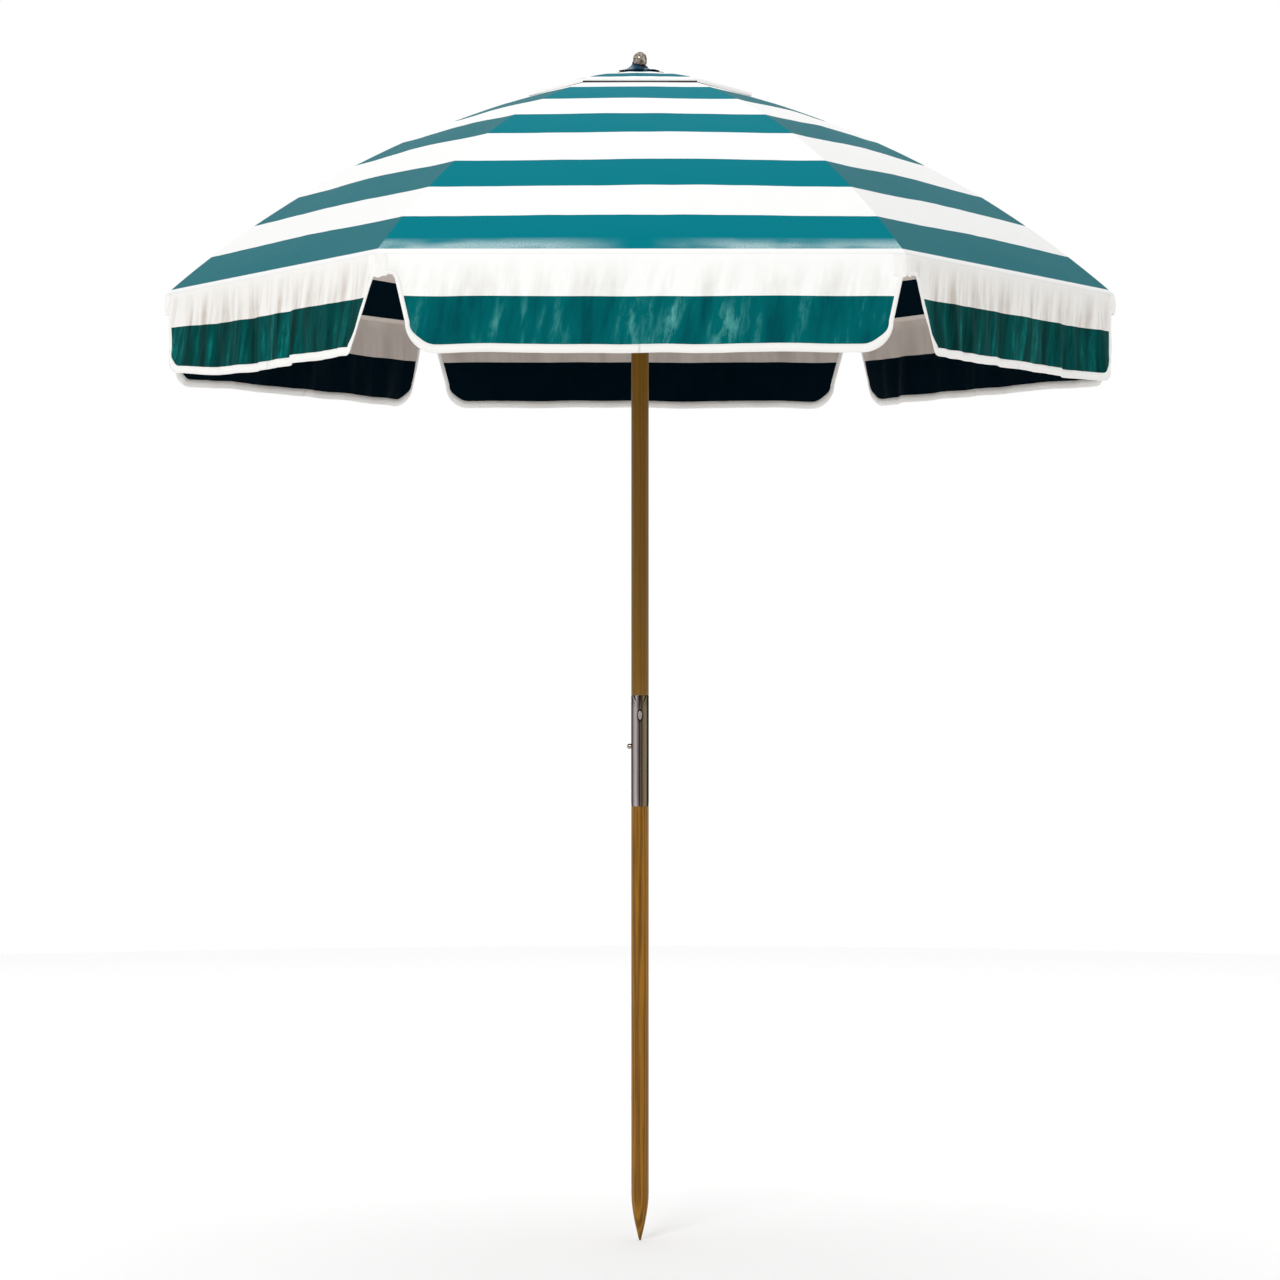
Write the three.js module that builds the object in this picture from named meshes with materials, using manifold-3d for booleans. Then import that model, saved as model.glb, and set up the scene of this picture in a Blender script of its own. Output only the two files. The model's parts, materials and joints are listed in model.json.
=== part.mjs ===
// A six-rib beach umbrella on a two-piece wooden pole, open, in millimetres, +Z up.
// The origin is the point of the pole that goes into the sand, and the pole stands on the Z axis.
// The ribs lie at 0, 60, 120, 180, 240 and 300 degrees from +X, so one gore faces -Y.
import * as THREE from 'three';
import { mergeVertices } from 'three/addons/utils/BufferGeometryUtils.js';
import Module from 'manifold-3d';

const wasm = await Module();
wasm.setup();

// Driving dimensions.
const RIB_COUNT = 6;
const POLE_R = 38.1 / 2;
const POLE_TOP_Z = 2546;
const CORNER_R = 1030; // from the pole's axis to a corner of the canopy
const RIB_PIVOT_R = 28;
const RIB_PIVOT_Z = 2530;
const RIB_SLOPE_INNER = THREE.MathUtils.degToRad(10);
const RIB_SLOPE_OUTER = THREE.MathUtils.degToRad(41);
const VALANCE_BOTTOM_Z = 1868;
const SLEEVE_BOTTOM_Z = 944;
const SLEEVE_TOP_Z = 1185;
const GAP = 0.3; // between pieces that touch
const CUT_MARGIN = 2; // how far a cut runs past the face it opens

// The rib and the cloth over it are arcs about one centre.
const CLOTH_INNER = 6; // from the rib's centreline to the cloth
const CLOTH_T = 1.2;
const CLOTH_MID = CLOTH_INNER + CLOTH_T / 2;
const RIB_ARC_R = (CORNER_R - RIB_PIVOT_R - CLOTH_MID * Math.sin(RIB_SLOPE_OUTER))
  / (Math.sin(RIB_SLOPE_OUTER) - Math.sin(RIB_SLOPE_INNER));
const ARC_CENTRE_R = RIB_PIVOT_R - RIB_ARC_R * Math.sin(RIB_SLOPE_INNER);
const ARC_CENTRE_Z = RIB_PIVOT_Z - RIB_ARC_R * Math.cos(RIB_SLOPE_INNER);

// Angles around the pole, and facets.
const SECTOR = 2 * Math.PI / RIB_COUNT;
const HALF_SECTOR = SECTOR / 2;
const APOTHEM_SHARE = Math.cos(HALF_SECTOR); // a hexagon's apothem over its corner radius
const ROUND_SIDES = 36;
const SMALL_SIDES = 12;
const ROD_SIDES = 8;
const RIB_STEPS = 12;
const CLOTH_STEPS = 10;
const WELD = 1e-4;

// Ribs and stretchers.
const ROD_R = 3;
const BLADE_T = 3;
const BLADE_HALF_H = 3.8;
const EYE_R = 5;
const EYE_HOLE_R = 1.65;
const RIB_BLADE_L = 30;
const RIB_ROD_FROM = 26; // along the rib from its pivot
const RIB_END_R = 1016;
const RIB_BALL_R = 3.9;
const JOINT_SLOPE = THREE.MathUtils.degToRad(23.3); // the rib's slope where the stretcher joins it
const JOINT_DROP = 9; // the stretcher's pivot below the rib's centreline
const SADDLE_L = 22;
const SADDLE_HALF_W = 5;
const SADDLE_TOP = 3.6;
const SADDLE_BOTTOM = -14;
const SADDLE_SLOT_TOP = -4.5;
const SADDLE_SLOT_HALF_W = 1.9;
const RIVET_R = 1.6;
const RIVET_HOLE_R = 1.78;
const STRETCHER_EYE_R = 4.2;
const STRETCHER_TOP_BLADE_L = 20;
const STRETCHER_FOOT_BLADE_L = 50;
const BLADE_OVERLAP = 3; // how far a rod runs into its flattened end

// Crown, on the pole's turned-down top.
const NECK_R = 15;
const NECK_FROM_Z = 2505;
const CROWN_BORE_R = NECK_R + GAP;
const CROWN_COLLAR_R = 24;
const CROWN_FLANGE_R = 36;
const CROWN_FLANGE_FROM_Z = 2518;
const CROWN_TOP_Z = 2542;
const SLOT_HALF_W = 2.2;
const CROWN_SLOT_R = 22;
const WIRE_R = 1.3;
const GROOVE_HALF_W = 1.6;
const GROOVE_FLOOR_Z = RIB_PIVOT_Z - GROOVE_HALF_W;
const PIN_Z = 2511.5;
const PIN_R = 2;

// Runner, which slides on the pole.
const STRETCHER_PIVOT = ribPoint(JOINT_SLOPE, -JOINT_DROP);
const RUNNER_PIVOT_Z = 2 * STRETCHER_PIVOT.y - RIB_PIVOT_Z; // both links are equally long
const RUNNER_BORE_R = 19.6;
const RUNNER_TUBE_R = 24;
const RUNNER_GRIP_R = 27;
const RUNNER_FLANGE_R = 36;
const RUNNER_FLANGE_HALF_H = 10;
const RUNNER_BELOW = 45;
const RUNNER_ABOVE = 14;
const RUNNER_GRIP_H = 8;
const RUNNER_SLOT_R = 22.4;
const RUNNER_SLOT_RISE = 5; // above the flange
const RUNNER_GRIP_TAPER_H = 2;

// Catch that holds the runner up, in a slot of the pole on its +X side.
const CATCH_TOP_Z = RUNNER_PIVOT_Z - RUNNER_BELOW - GAP;
const CATCH_H = 44;
const CATCH_LIP_H = 6;
const CATCH_HALF_T = 2;
const CATCH_BACK_R = 9.6;
const CATCH_FOOT_R = 18.6;
const CATCH_NOSE_R = 25.2;
const CATCH_SLOT_R = 2;
const CATCH_SLOT_HALF_W = 2.4;

// Joint between the two lengths of pole.
const SLEEVE_BORE_R = 17.5;
const SPIGOT_R = 17.2;
const SPIGOT_BORE_R = 16.2;
const SPIGOT_TOP_Z = 1112;
const CORE_R = 15.9;
const CORE_TOP_Z = 1040;
const UPPER_SPIGOT_Z = 1115.3;
const SPIGOT_CHAMFER = 1.5;
const TIP_R = 2.2;
const TAPER_H = 107;
const TAPER_POINTS = 7;
const BUTTON_Z = 1074;
const BUTTON_R = 5.4;
const BUTTON_HOLE_R = 5.85;
const BUTTON_OUT = 28; // from the pole's axis to the button's face
const BUTTON_DOME = [[1, 3], [0.87, 1.2], [0.52, 0.3], [0, 0]]; // [share of the radius, height below the face]
const CLIP_OUTER = 14.8;
const CLIP_T = 1;
const CLIP_HALF_W = 4;
const CLIP_BEND_Z = 1060;
const CLIP_TOP_Z = 1096;
const SLEEVE_RIVET_Z = 1142;
const SLEEVE_RIVET_R = 2.5;
const SLEEVE_RIVET_HEAD_R = 4.4;
const SLEEVE_RIVET_HEAD_H = 1.7;
const SLEEVE_RIVET_FACE_R = 3.3;
const SLEEVE_RIVET_DOME_H = 0.4;
const SLEEVE_RIVET_DEPTH = 9;

// Finial and the cloth cone under it.
const STUD_R = 4;
const STUD_FROM_Z = 2521.5;
const STUD_HOLE_R = 4.3;
const STUD_HOLE_Z = 2520;
const WASHER_R = 12.5;
const WASHER_T = 1.7;
const FINIAL_SEAT_Z = POLE_TOP_Z + 2 * GAP + WASHER_T;
const FINIAL_PROFILE = [
  [11, 0], [11.4, 2.2], [9.6, 4.4], [11.6, 7.6], [14.2, 13], [15, 18],
  [14.4, 23.5], [12.4, 28.2], [9, 31.8], [5.2, 34], [2.2, 35.4], [0, 35.7],
];
const CONE_PROFILE = [
  [13.4, 2554.2], [30, 2546.8], [46, 2541.2], [46.3, 2540], [29.6, 2545.5], [13.4, 2552.8],
];

// Canopy, its vent cap and its valance.
const CANOPY_HOLE_R = 52;
const VENT_HOLE_R = 56;
const VENT_R = 240;
const VENT_RISE = 13; // from the rib's centreline to the vent cap's underside
const PIECE_INSET = 0.25; // of each half gore from the rib and from the middle seam
const FAR = 1400;
const RIM_Z = ARC_CENTRE_Z + (RIB_ARC_R + CLOTH_MID) * Math.cos(RIB_SLOPE_OUTER);
const VALANCE_TOP_Z = RIM_Z - 1;
const VALANCE_APOTHEM = CORNER_R * APOTHEM_SHARE + 0.9;
const VALANCE_CORNER_U = VALANCE_APOTHEM * Math.tan(HALF_SECTOR);
const SLIT_TOP_Z = 2016;
const SLIT_TOP_HALF_W = 22.5;
const SLIT_LOW_HALF_W = 48;
const HEM_CORNER_R = 55;

const MATERIALS = {
  wood: new THREE.MeshStandardMaterial({ color: 0x96682a, roughness: 0.55, metalness: 0 }),
  wood_dark: new THREE.MeshStandardMaterial({ color: 0x7c5a1c, roughness: 0.5, metalness: 0 }),
  steel: new THREE.MeshStandardMaterial({ color: 0x9a9290, roughness: 0.35, metalness: 1 }),
  chrome: new THREE.MeshStandardMaterial({ color: 0xd8d4cc, roughness: 0.12, metalness: 1 }),
  rod: new THREE.MeshStandardMaterial({ color: 0xb9bcbc, roughness: 0.45, metalness: 0.9 }),
  nylon: new THREE.MeshStandardMaterial({ color: 0xeeeeea, roughness: 0.6, metalness: 0 }),
  teal: new THREE.MeshStandardMaterial({ color: 0x00808f, roughness: 0.7, metalness: 0 }),
  white: new THREE.MeshStandardMaterial({ color: 0xf6f6f2, roughness: 0.75, metalness: 0 }),
};

// A point of the arc family at a slope, `rise` outside the rib's centreline: x is the radius, y the height.
function ribPoint(slope, rise) {
  const radius = RIB_ARC_R + rise;
  return new THREE.Vector2(
    ARC_CENTRE_R + radius * Math.sin(slope),
    ARC_CENTRE_Z + radius * Math.cos(slope),
  );
}

function slopeAtRadius(radius, rise) {
  return Math.asin((radius - ARC_CENTRE_R) / (RIB_ARC_R + rise));
}

// The centreline of a rib in the plane y = 0, from one slope to another.
class RibCurve extends THREE.Curve {
  constructor(slopeFrom, slopeTo) {
    super();
    this.slopeFrom = slopeFrom;
    this.slopeTo = slopeTo;
  }

  getPoint(t, target = new THREE.Vector3()) {
    const point = ribPoint(THREE.MathUtils.lerp(this.slopeFrom, this.slopeTo, t), 0);
    return target.set(point.x, 0, point.y);
  }
}

// A closed geometry as a solid, with its faces turned outward and flat triangles left out.
function solidOf(geometry) {
  const bare = geometry.clone();
  bare.deleteAttribute('normal');
  bare.deleteAttribute('uv');
  const merged = mergeVertices(bare, WELD);
  const position = merged.attributes.position;
  const index = merged.index.array;
  const corner = [new THREE.Vector3(), new THREE.Vector3(), new THREE.Vector3()];
  const kept = [];
  let volume = 0;
  for (let i = 0; i < index.length; i += 3) {
    const [a, b, c] = [index[i], index[i + 1], index[i + 2]];
    if (a === b || b === c || c === a) continue;
    corner.forEach((point, n) => point.fromBufferAttribute(position, index[i + n]));
    volume += corner[0].dot(corner[1].cross(corner[2]));
    kept.push([a, b, c]);
  }
  const faces = volume > 0 ? kept : kept.map(([a, b, c]) => [a, c, b]);
  return new wasm.Manifold(new wasm.Mesh({
    numProp: 3,
    vertProperties: Float32Array.from(position.array),
    triVerts: Uint32Array.from(faces.flat()),
  }));
}

function geometryOf(solid) {
  const mesh = solid.getMesh();
  const geometry = new THREE.BufferGeometry();
  geometry.setAttribute('position', new THREE.BufferAttribute(Float32Array.from(mesh.vertProperties), 3));
  geometry.setIndex(new THREE.BufferAttribute(Uint32Array.from(mesh.triVerts), 1));
  return geometry;
}

// A profile of [radius, height] points turned about the Z axis.
function turned(profile, sides = ROUND_SIDES) {
  const geometry = new THREE.LatheGeometry(profile.map(([r, z]) => new THREE.Vector2(r, z)), sides);
  return geometry.rotateX(Math.PI / 2);
}

// A ring of a closed profile, which doesn't touch the axis.
function turnedRing(profile, sides = ROUND_SIDES) {
  return turned([...profile, profile[0]], sides);
}

// A hexagonal ring with its corners over the ribs.
function hexRing(profile) {
  return turnedRing(profile, RIB_COUNT).rotateZ(Math.PI / 2);
}

function tubeProfile(innerR, outerR, lowZ, highZ) {
  return [[innerR, lowZ], [outerR, lowZ], [outerR, highZ], [innerR, highZ]];
}

function barProfile(radius, lowZ, highZ) {
  return [[0, lowZ], [radius, lowZ], [radius, highZ], [0, highZ]];
}

// A cylinder across the plane y = 0, centred on (x, z).
function crossBar(x, z, radius, halfLength, sides = SMALL_SIDES) {
  return new THREE.CylinderGeometry(radius, radius, 2 * halfLength, sides).translate(x, 0, z);
}

// A round bar between two points.
function bar(from, to, radius, sides = ROD_SIDES) {
  const along = to.clone().sub(from);
  const geometry = new THREE.CylinderGeometry(radius, radius, along.length(), sides);
  const turn = new THREE.Quaternion().setFromUnitVectors(new THREE.Vector3(0, 1, 0), along.clone().normalize());
  return geometry.applyQuaternion(turn).translate(...from.clone().lerp(to, 0.5).toArray());
}

function box(lowX, highX, halfY, lowZ, highZ) {
  return new THREE.BoxGeometry(highX - lowX, 2 * halfY, highZ - lowZ)
    .translate((lowX + highX) / 2, 0, (lowZ + highZ) / 2);
}

// A flat plate of an outline in the plane y = 0, centred on it.
function plate(shape, thickness) {
  return new THREE.ExtrudeGeometry(shape, { depth: thickness, bevelEnabled: false })
    .rotateX(Math.PI / 2).translate(0, thickness / 2, 0);
}

// A flat bar in the plane y = 0 that leaves a point in a direction (x, z).
function blade(from, direction, length) {
  const angle = Math.atan2(direction.y, direction.x);
  return box(0, length, BLADE_T / 2, -BLADE_HALF_H, BLADE_HALF_H)
    .rotateY(-angle).translate(from.x, 0, from.y);
}

// Everything between two angles around the pole, `inset` inside both planes.
function wedge(angleFrom, angleTo, inset) {
  const half = (angleTo - angleFrom) / 2;
  const middle = angleFrom + half;
  const apexR = inset / Math.sin(half);
  const apex = new THREE.Vector2(Math.cos(middle), Math.sin(middle)).multiplyScalar(apexR);
  const corners = [angleFrom, angleTo].map(
    (angle) => new THREE.Vector2(Math.cos(angle), Math.sin(angle)).multiplyScalar(FAR).add(apex),
  );
  return new THREE.ExtrudeGeometry(new THREE.Shape([apex, ...corners]), {
    depth: 2 * POLE_TOP_Z, bevelEnabled: false,
  });
}

function union(...geometries) {
  return geometries.map(solidOf).reduce((whole, next) => whole.add(next));
}

function cut(solid, ...geometries) {
  return geometries.map(solidOf).reduce((whole, next) => whole.subtract(next), solid);
}

// The band between two rises of the arc family, from one corner radius to a slope or radius.
function arcBand(lowRise, highRise, fromR, slopeTo) {
  const low = [];
  const high = [];
  const slopeFrom = slopeAtRadius(fromR, lowRise);
  for (let i = 0; i <= CLOTH_STEPS; i += 1) {
    const slope = THREE.MathUtils.lerp(slopeFrom, slopeTo, i / CLOTH_STEPS);
    low.push(ribPoint(slope, lowRise).toArray());
    high.unshift(ribPoint(slope, highRise).toArray());
  }
  return [...low, ...high];
}

const umbrella = new THREE.Group();
umbrella.name = 'beach_umbrella';

function addPiece(name, solid, material, turn = 0) {
  const geometry = solid.isBufferGeometry ? geometryOf(solidOf(solid)) : geometryOf(solid);
  const mesh = new THREE.Mesh(geometry, material.clone());
  mesh.name = name;
  mesh.rotation.z = turn;
  umbrella.add(mesh);
}

// A hole for the snap button, through whatever stands on the pole's -X side.
function buttonHole(radius) {
  return bar(new THREE.Vector3(-BUTTON_OUT, 0, BUTTON_Z), new THREE.Vector3(0, 0, BUTTON_Z), radius, SMALL_SIDES);
}

function sleeveRivetHole() {
  return bar(
    new THREE.Vector3(0, -2 * POLE_R, SLEEVE_RIVET_Z),
    new THREE.Vector3(0, -SLEEVE_RIVET_DEPTH + GAP, SLEEVE_RIVET_Z),
    SLEEVE_RIVET_R + GAP,
    SMALL_SIDES,
  );
}

function lowerPole() {
  const taper = [];
  for (let i = 0; i < TAPER_POINTS; i += 1) {
    const share = i / (TAPER_POINTS - 1);
    const radius = TIP_R + (POLE_R - TIP_R) * Math.sin(share * Math.PI / 2);
    taper.push([radius, TAPER_H * share]);
  }
  const shoulderZ = SLEEVE_BOTTOM_Z - GAP;
  return turned([
    [0, 0], ...taper, [POLE_R, shoulderZ], [CORE_R, shoulderZ],
    [CORE_R, CORE_TOP_Z - SPIGOT_CHAMFER], [CORE_R - SPIGOT_CHAMFER, CORE_TOP_Z], [0, CORE_TOP_Z],
  ]);
}

function spigotTube() {
  const tube = turnedRing(tubeProfile(SPIGOT_BORE_R, SPIGOT_R, SLEEVE_BOTTOM_Z, SPIGOT_TOP_Z));
  return cut(solidOf(tube), buttonHole(BUTTON_HOLE_R));
}

// A strip bent into a U, with the button on its -X leg.
function buttonClip() {
  const shape = new THREE.Shape();
  const inner = CLIP_OUTER - CLIP_T;
  shape.moveTo(-CLIP_OUTER, CLIP_TOP_Z);
  shape.absarc(0, CLIP_BEND_Z, CLIP_OUTER, Math.PI, 2 * Math.PI, false);
  shape.lineTo(CLIP_OUTER, CLIP_TOP_Z);
  shape.lineTo(inner, CLIP_TOP_Z);
  shape.absarc(0, CLIP_BEND_Z, inner, 2 * Math.PI, Math.PI, true);
  shape.lineTo(-inner, CLIP_TOP_Z);
  return plate(shape, 2 * CLIP_HALF_W);
}

function snapButton() {
  const base = CLIP_OUTER + GAP;
  const dome = BUTTON_DOME.map(([share, below]) => [BUTTON_R * share, BUTTON_OUT - below]);
  return turned([[0, base], [BUTTON_R, base], ...dome], SMALL_SIDES)
    .rotateY(-Math.PI / 2).translate(0, 0, BUTTON_Z);
}

function jointSleeve() {
  const tube = turnedRing(tubeProfile(SLEEVE_BORE_R, POLE_R, SLEEVE_BOTTOM_Z, SLEEVE_TOP_Z));
  return cut(solidOf(tube), buttonHole(BUTTON_HOLE_R), sleeveRivetHole());
}

function sleeveRivet() {
  const underHead = POLE_R + GAP;
  const headTop = underHead + SLEEVE_RIVET_HEAD_H;
  return turned([
    [0, SLEEVE_RIVET_DEPTH], [SLEEVE_RIVET_R, SLEEVE_RIVET_DEPTH], [SLEEVE_RIVET_R, underHead],
    [SLEEVE_RIVET_HEAD_R, underHead], [SLEEVE_RIVET_FACE_R, headTop - SLEEVE_RIVET_DOME_H], [0, headTop],
  ], SMALL_SIDES).rotateX(Math.PI / 2).translate(0, 0, SLEEVE_RIVET_Z);
}

function catchSlot() {
  const low = CATCH_TOP_Z - CATCH_H - GAP;
  return box(CATCH_SLOT_R, 2 * POLE_R, CATCH_SLOT_HALF_W, low, CATCH_TOP_Z + GAP);
}

function upperPole() {
  const blank = turned([
    [0, UPPER_SPIGOT_Z], [SPIGOT_R - SPIGOT_CHAMFER, UPPER_SPIGOT_Z],
    [SPIGOT_R, UPPER_SPIGOT_Z + SPIGOT_CHAMFER], [SPIGOT_R, SLEEVE_TOP_Z + GAP],
    [POLE_R, SLEEVE_TOP_Z + GAP], [POLE_R, NECK_FROM_Z - GAP],
    [NECK_R, NECK_FROM_Z - GAP], [NECK_R, POLE_TOP_Z], [0, POLE_TOP_Z],
  ]);
  return cut(
    solidOf(blank),
    turned(barProfile(STUD_HOLE_R, STUD_HOLE_Z, POLE_TOP_Z + CUT_MARGIN), SMALL_SIDES),
    sleeveRivetHole(),
    catchSlot(),
    crossBar(0, PIN_Z, PIN_R + GAP, 2 * POLE_R),
  );
}

// The groove that the hinge wire lies in, open at the top.
function wireGroove() {
  const inner = (RIB_PIVOT_R - GROOVE_HALF_W) / APOTHEM_SHARE;
  const outer = (RIB_PIVOT_R + GROOVE_HALF_W) / APOTHEM_SHARE;
  return turnedRing(tubeProfile(inner, outer, GROOVE_FLOOR_Z, CROWN_TOP_Z + CUT_MARGIN), RIB_COUNT);
}

// One slot for a rib's or a stretcher's blade, at each rib.
function bladeSlots(innerR, outerR, lowZ, highZ) {
  const slots = [];
  for (let i = 0; i < RIB_COUNT; i += 1) {
    slots.push(box(innerR, outerR, SLOT_HALF_W, lowZ, highZ).rotateZ(i * SECTOR));
  }
  return slots;
}

function crown() {
  const blank = turnedRing([
    [CROWN_BORE_R, NECK_FROM_Z], [CROWN_COLLAR_R, NECK_FROM_Z], [CROWN_COLLAR_R, CROWN_FLANGE_FROM_Z],
    [CROWN_FLANGE_R, CROWN_FLANGE_FROM_Z], [CROWN_FLANGE_R, CROWN_TOP_Z], [CROWN_BORE_R, CROWN_TOP_Z],
  ]);
  return cut(
    solidOf(blank),
    wireGroove(),
    crossBar(0, PIN_Z, PIN_R + GAP, 2 * POLE_R),
    ...bladeSlots(
      CROWN_SLOT_R, CROWN_FLANGE_R + CUT_MARGIN, CROWN_FLANGE_FROM_Z - CUT_MARGIN, CROWN_TOP_Z + CUT_MARGIN,
    ),
  );
}

function crownWire() {
  return new THREE.TorusGeometry(RIB_PIVOT_R / APOTHEM_SHARE, WIRE_R, ROD_SIDES, RIB_COUNT)
    .rotateZ(HALF_SECTOR).translate(0, 0, RIB_PIVOT_Z);
}

// Its slots run its whole length, so that a stretcher's foot clears it wherever the foot is.
function runner() {
  const low = RUNNER_PIVOT_Z - RUNNER_BELOW;
  const high = RUNNER_PIVOT_Z + RUNNER_ABOVE;
  const flangeLow = RUNNER_PIVOT_Z - RUNNER_FLANGE_HALF_H;
  const flangeHigh = RUNNER_PIVOT_Z + RUNNER_FLANGE_HALF_H;
  const blank = turnedRing([
    [RUNNER_BORE_R, low], [RUNNER_GRIP_R, low], [RUNNER_GRIP_R, low + RUNNER_GRIP_H],
    [RUNNER_TUBE_R, low + RUNNER_GRIP_H + RUNNER_GRIP_TAPER_H], [RUNNER_TUBE_R, flangeLow],
    [RUNNER_FLANGE_R, flangeLow], [RUNNER_FLANGE_R, flangeHigh], [RUNNER_TUBE_R, flangeHigh],
    [RUNNER_TUBE_R, high], [RUNNER_BORE_R, high],
  ]);
  const slotTop = flangeHigh + RUNNER_SLOT_RISE;
  const slots = bladeSlots(RUNNER_SLOT_R, RUNNER_FLANGE_R + CUT_MARGIN, low - CUT_MARGIN, slotTop);
  return cut(solidOf(blank), ...slots);
}

function runnerCatch() {
  const low = CATCH_TOP_Z - CATCH_H;
  return plate(new THREE.Shape([
    new THREE.Vector2(CATCH_BACK_R, low),
    new THREE.Vector2(CATCH_FOOT_R, low),
    new THREE.Vector2(CATCH_NOSE_R, CATCH_TOP_Z - CATCH_LIP_H),
    new THREE.Vector2(CATCH_NOSE_R, CATCH_TOP_Z),
    new THREE.Vector2(CATCH_BACK_R, CATCH_TOP_Z),
  ]), 2 * CATCH_HALF_T);
}

function finial() {
  const outside = FINIAL_PROFILE.map(([r, h]) => [r, FINIAL_SEAT_Z + h]);
  return turned([[0, STUD_FROM_Z], [STUD_R, STUD_FROM_Z], [STUD_R, FINIAL_SEAT_Z], ...outside], 2 * SMALL_SIDES);
}

// The saddle under the rib, with the rivet that the stretcher turns on.
function ribSaddle() {
  const pivotZ = -JOINT_DROP;
  const block = solidOf(box(-SADDLE_L / 2, SADDLE_L / 2, SADDLE_HALF_W, SADDLE_BOTTOM, SADDLE_TOP));
  const slot = box(-SADDLE_L, SADDLE_L, SADDLE_SLOT_HALF_W, 2 * SADDLE_BOTTOM, SADDLE_SLOT_TOP);
  const rivet = solidOf(crossBar(0, pivotZ, RIVET_R, SADDLE_HALF_W + 1));
  const centre = ribPoint(JOINT_SLOPE, 0);
  return geometryOf(cut(block, slot).add(rivet)).rotateY(JOINT_SLOPE).translate(centre.x, 0, centre.y);
}

function rib() {
  const pivot = new THREE.Vector2(RIB_PIVOT_R, RIB_PIVOT_Z);
  const rodFrom = RIB_SLOPE_INNER + RIB_ROD_FROM / RIB_ARC_R;
  const rodTo = slopeAtRadius(RIB_END_R, 0);
  const bladeTo = ribPoint(RIB_SLOPE_INNER + RIB_BLADE_L / RIB_ARC_R, 0);
  const section = new THREE.Shape().absarc(0, 0, ROD_R, 0, 2 * Math.PI, false);
  const rod = new THREE.ExtrudeGeometry(section, {
    steps: RIB_STEPS, curveSegments: ROD_SIDES / 2, bevelEnabled: false, extrudePath: new RibCurve(rodFrom, rodTo),
  });
  const end = ribPoint(rodTo, 0);
  const ball = new THREE.SphereGeometry(RIB_BALL_R, ROD_SIDES, ROD_SIDES / 2).translate(end.x, 0, end.y);
  const whole = union(
    crossBar(pivot.x, pivot.y, EYE_R, BLADE_T / 2),
    blade(pivot, bladeTo.sub(pivot), RIB_BLADE_L),
    rod,
    ball,
    ribSaddle(),
  );
  return cut(whole, crossBar(pivot.x, pivot.y, EYE_HOLE_R, BLADE_T));
}

function stretcher() {
  const top = STRETCHER_PIVOT;
  const foot = new THREE.Vector2(RIB_PIVOT_R, RUNNER_PIVOT_Z);
  const toFoot = foot.clone().sub(top).normalize();
  const toTop = toFoot.clone().negate();
  const rodTop = toFoot.clone().multiplyScalar(STRETCHER_TOP_BLADE_L - BLADE_OVERLAP).add(top);
  const rodFoot = toTop.clone().multiplyScalar(STRETCHER_FOOT_BLADE_L - BLADE_OVERLAP).add(foot);
  const whole = union(
    crossBar(top.x, top.y, STRETCHER_EYE_R, BLADE_T / 2),
    crossBar(foot.x, foot.y, EYE_R, BLADE_T / 2),
    blade(top, toFoot, STRETCHER_TOP_BLADE_L),
    blade(foot, toTop, STRETCHER_FOOT_BLADE_L),
    bar(new THREE.Vector3(rodTop.x, 0, rodTop.y), new THREE.Vector3(rodFoot.x, 0, rodFoot.y), ROD_R),
  );
  return cut(
    whole,
    crossBar(top.x, top.y, RIVET_HOLE_R, BLADE_T),
    crossBar(foot.x, foot.y, EYE_HOLE_R, BLADE_T),
  );
}

// One half of a gore, beside the rib at angle 0: side is 1 for the half after the rib and -1 for the one before it.
function halfGore(canopy, side) {
  const [from, to] = side > 0 ? [0, HALF_SECTOR] : [-HALF_SECTOR, 0];
  return canopy.intersect(solidOf(wedge(from, to, PIECE_INSET)));
}

// One half of a valance, from its middle to the slit beside the rib.
function halfValance(side) {
  const slitTopU = VALANCE_CORNER_U - SLIT_TOP_HALF_W;
  const slitLowU = VALANCE_CORNER_U - SLIT_LOW_HALF_W;
  const centreU = slitLowU - HEM_CORNER_R;
  const shape = new THREE.Shape();
  shape.moveTo(PIECE_INSET, VALANCE_TOP_Z);
  shape.lineTo(PIECE_INSET, VALANCE_BOTTOM_Z);
  shape.lineTo(centreU, VALANCE_BOTTOM_Z);
  shape.absarc(centreU, VALANCE_BOTTOM_Z + HEM_CORNER_R, HEM_CORNER_R, -Math.PI / 2, 0, false);
  shape.lineTo(slitTopU - GAP, SLIT_TOP_Z);
  shape.lineTo(slitTopU - GAP, VALANCE_TOP_Z);
  const flat = new THREE.ExtrudeGeometry(shape, { depth: CLOTH_T, curveSegments: 8, bevelEnabled: false });
  // The outline's u runs towards the rib, which is towards smaller angles when side is 1.
  flat.rotateX(Math.PI / 2).rotateZ(Math.PI / 2);
  flat.translate(VALANCE_APOTHEM, 0, 0);
  if (side > 0) flat.scale(1, -1, 1);
  return flat.rotateZ(side * HALF_SECTOR);
}

// The corner of the valance over the slit, folded round the end of the rib.
function valanceCorner() {
  const inner = VALANCE_APOTHEM / APOTHEM_SHARE;
  const outer = (VALANCE_APOTHEM + CLOTH_T) / APOTHEM_SHARE;
  const ring = solidOf(hexRing(tubeProfile(inner, outer, SLIT_TOP_Z, VALANCE_TOP_Z)));
  const reach = SLIT_TOP_HALF_W * APOTHEM_SHARE - GAP;
  return ring.intersect(solidOf(box(CORNER_R / 2, CORNER_R * 2, reach, 0, POLE_TOP_Z)));
}

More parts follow.
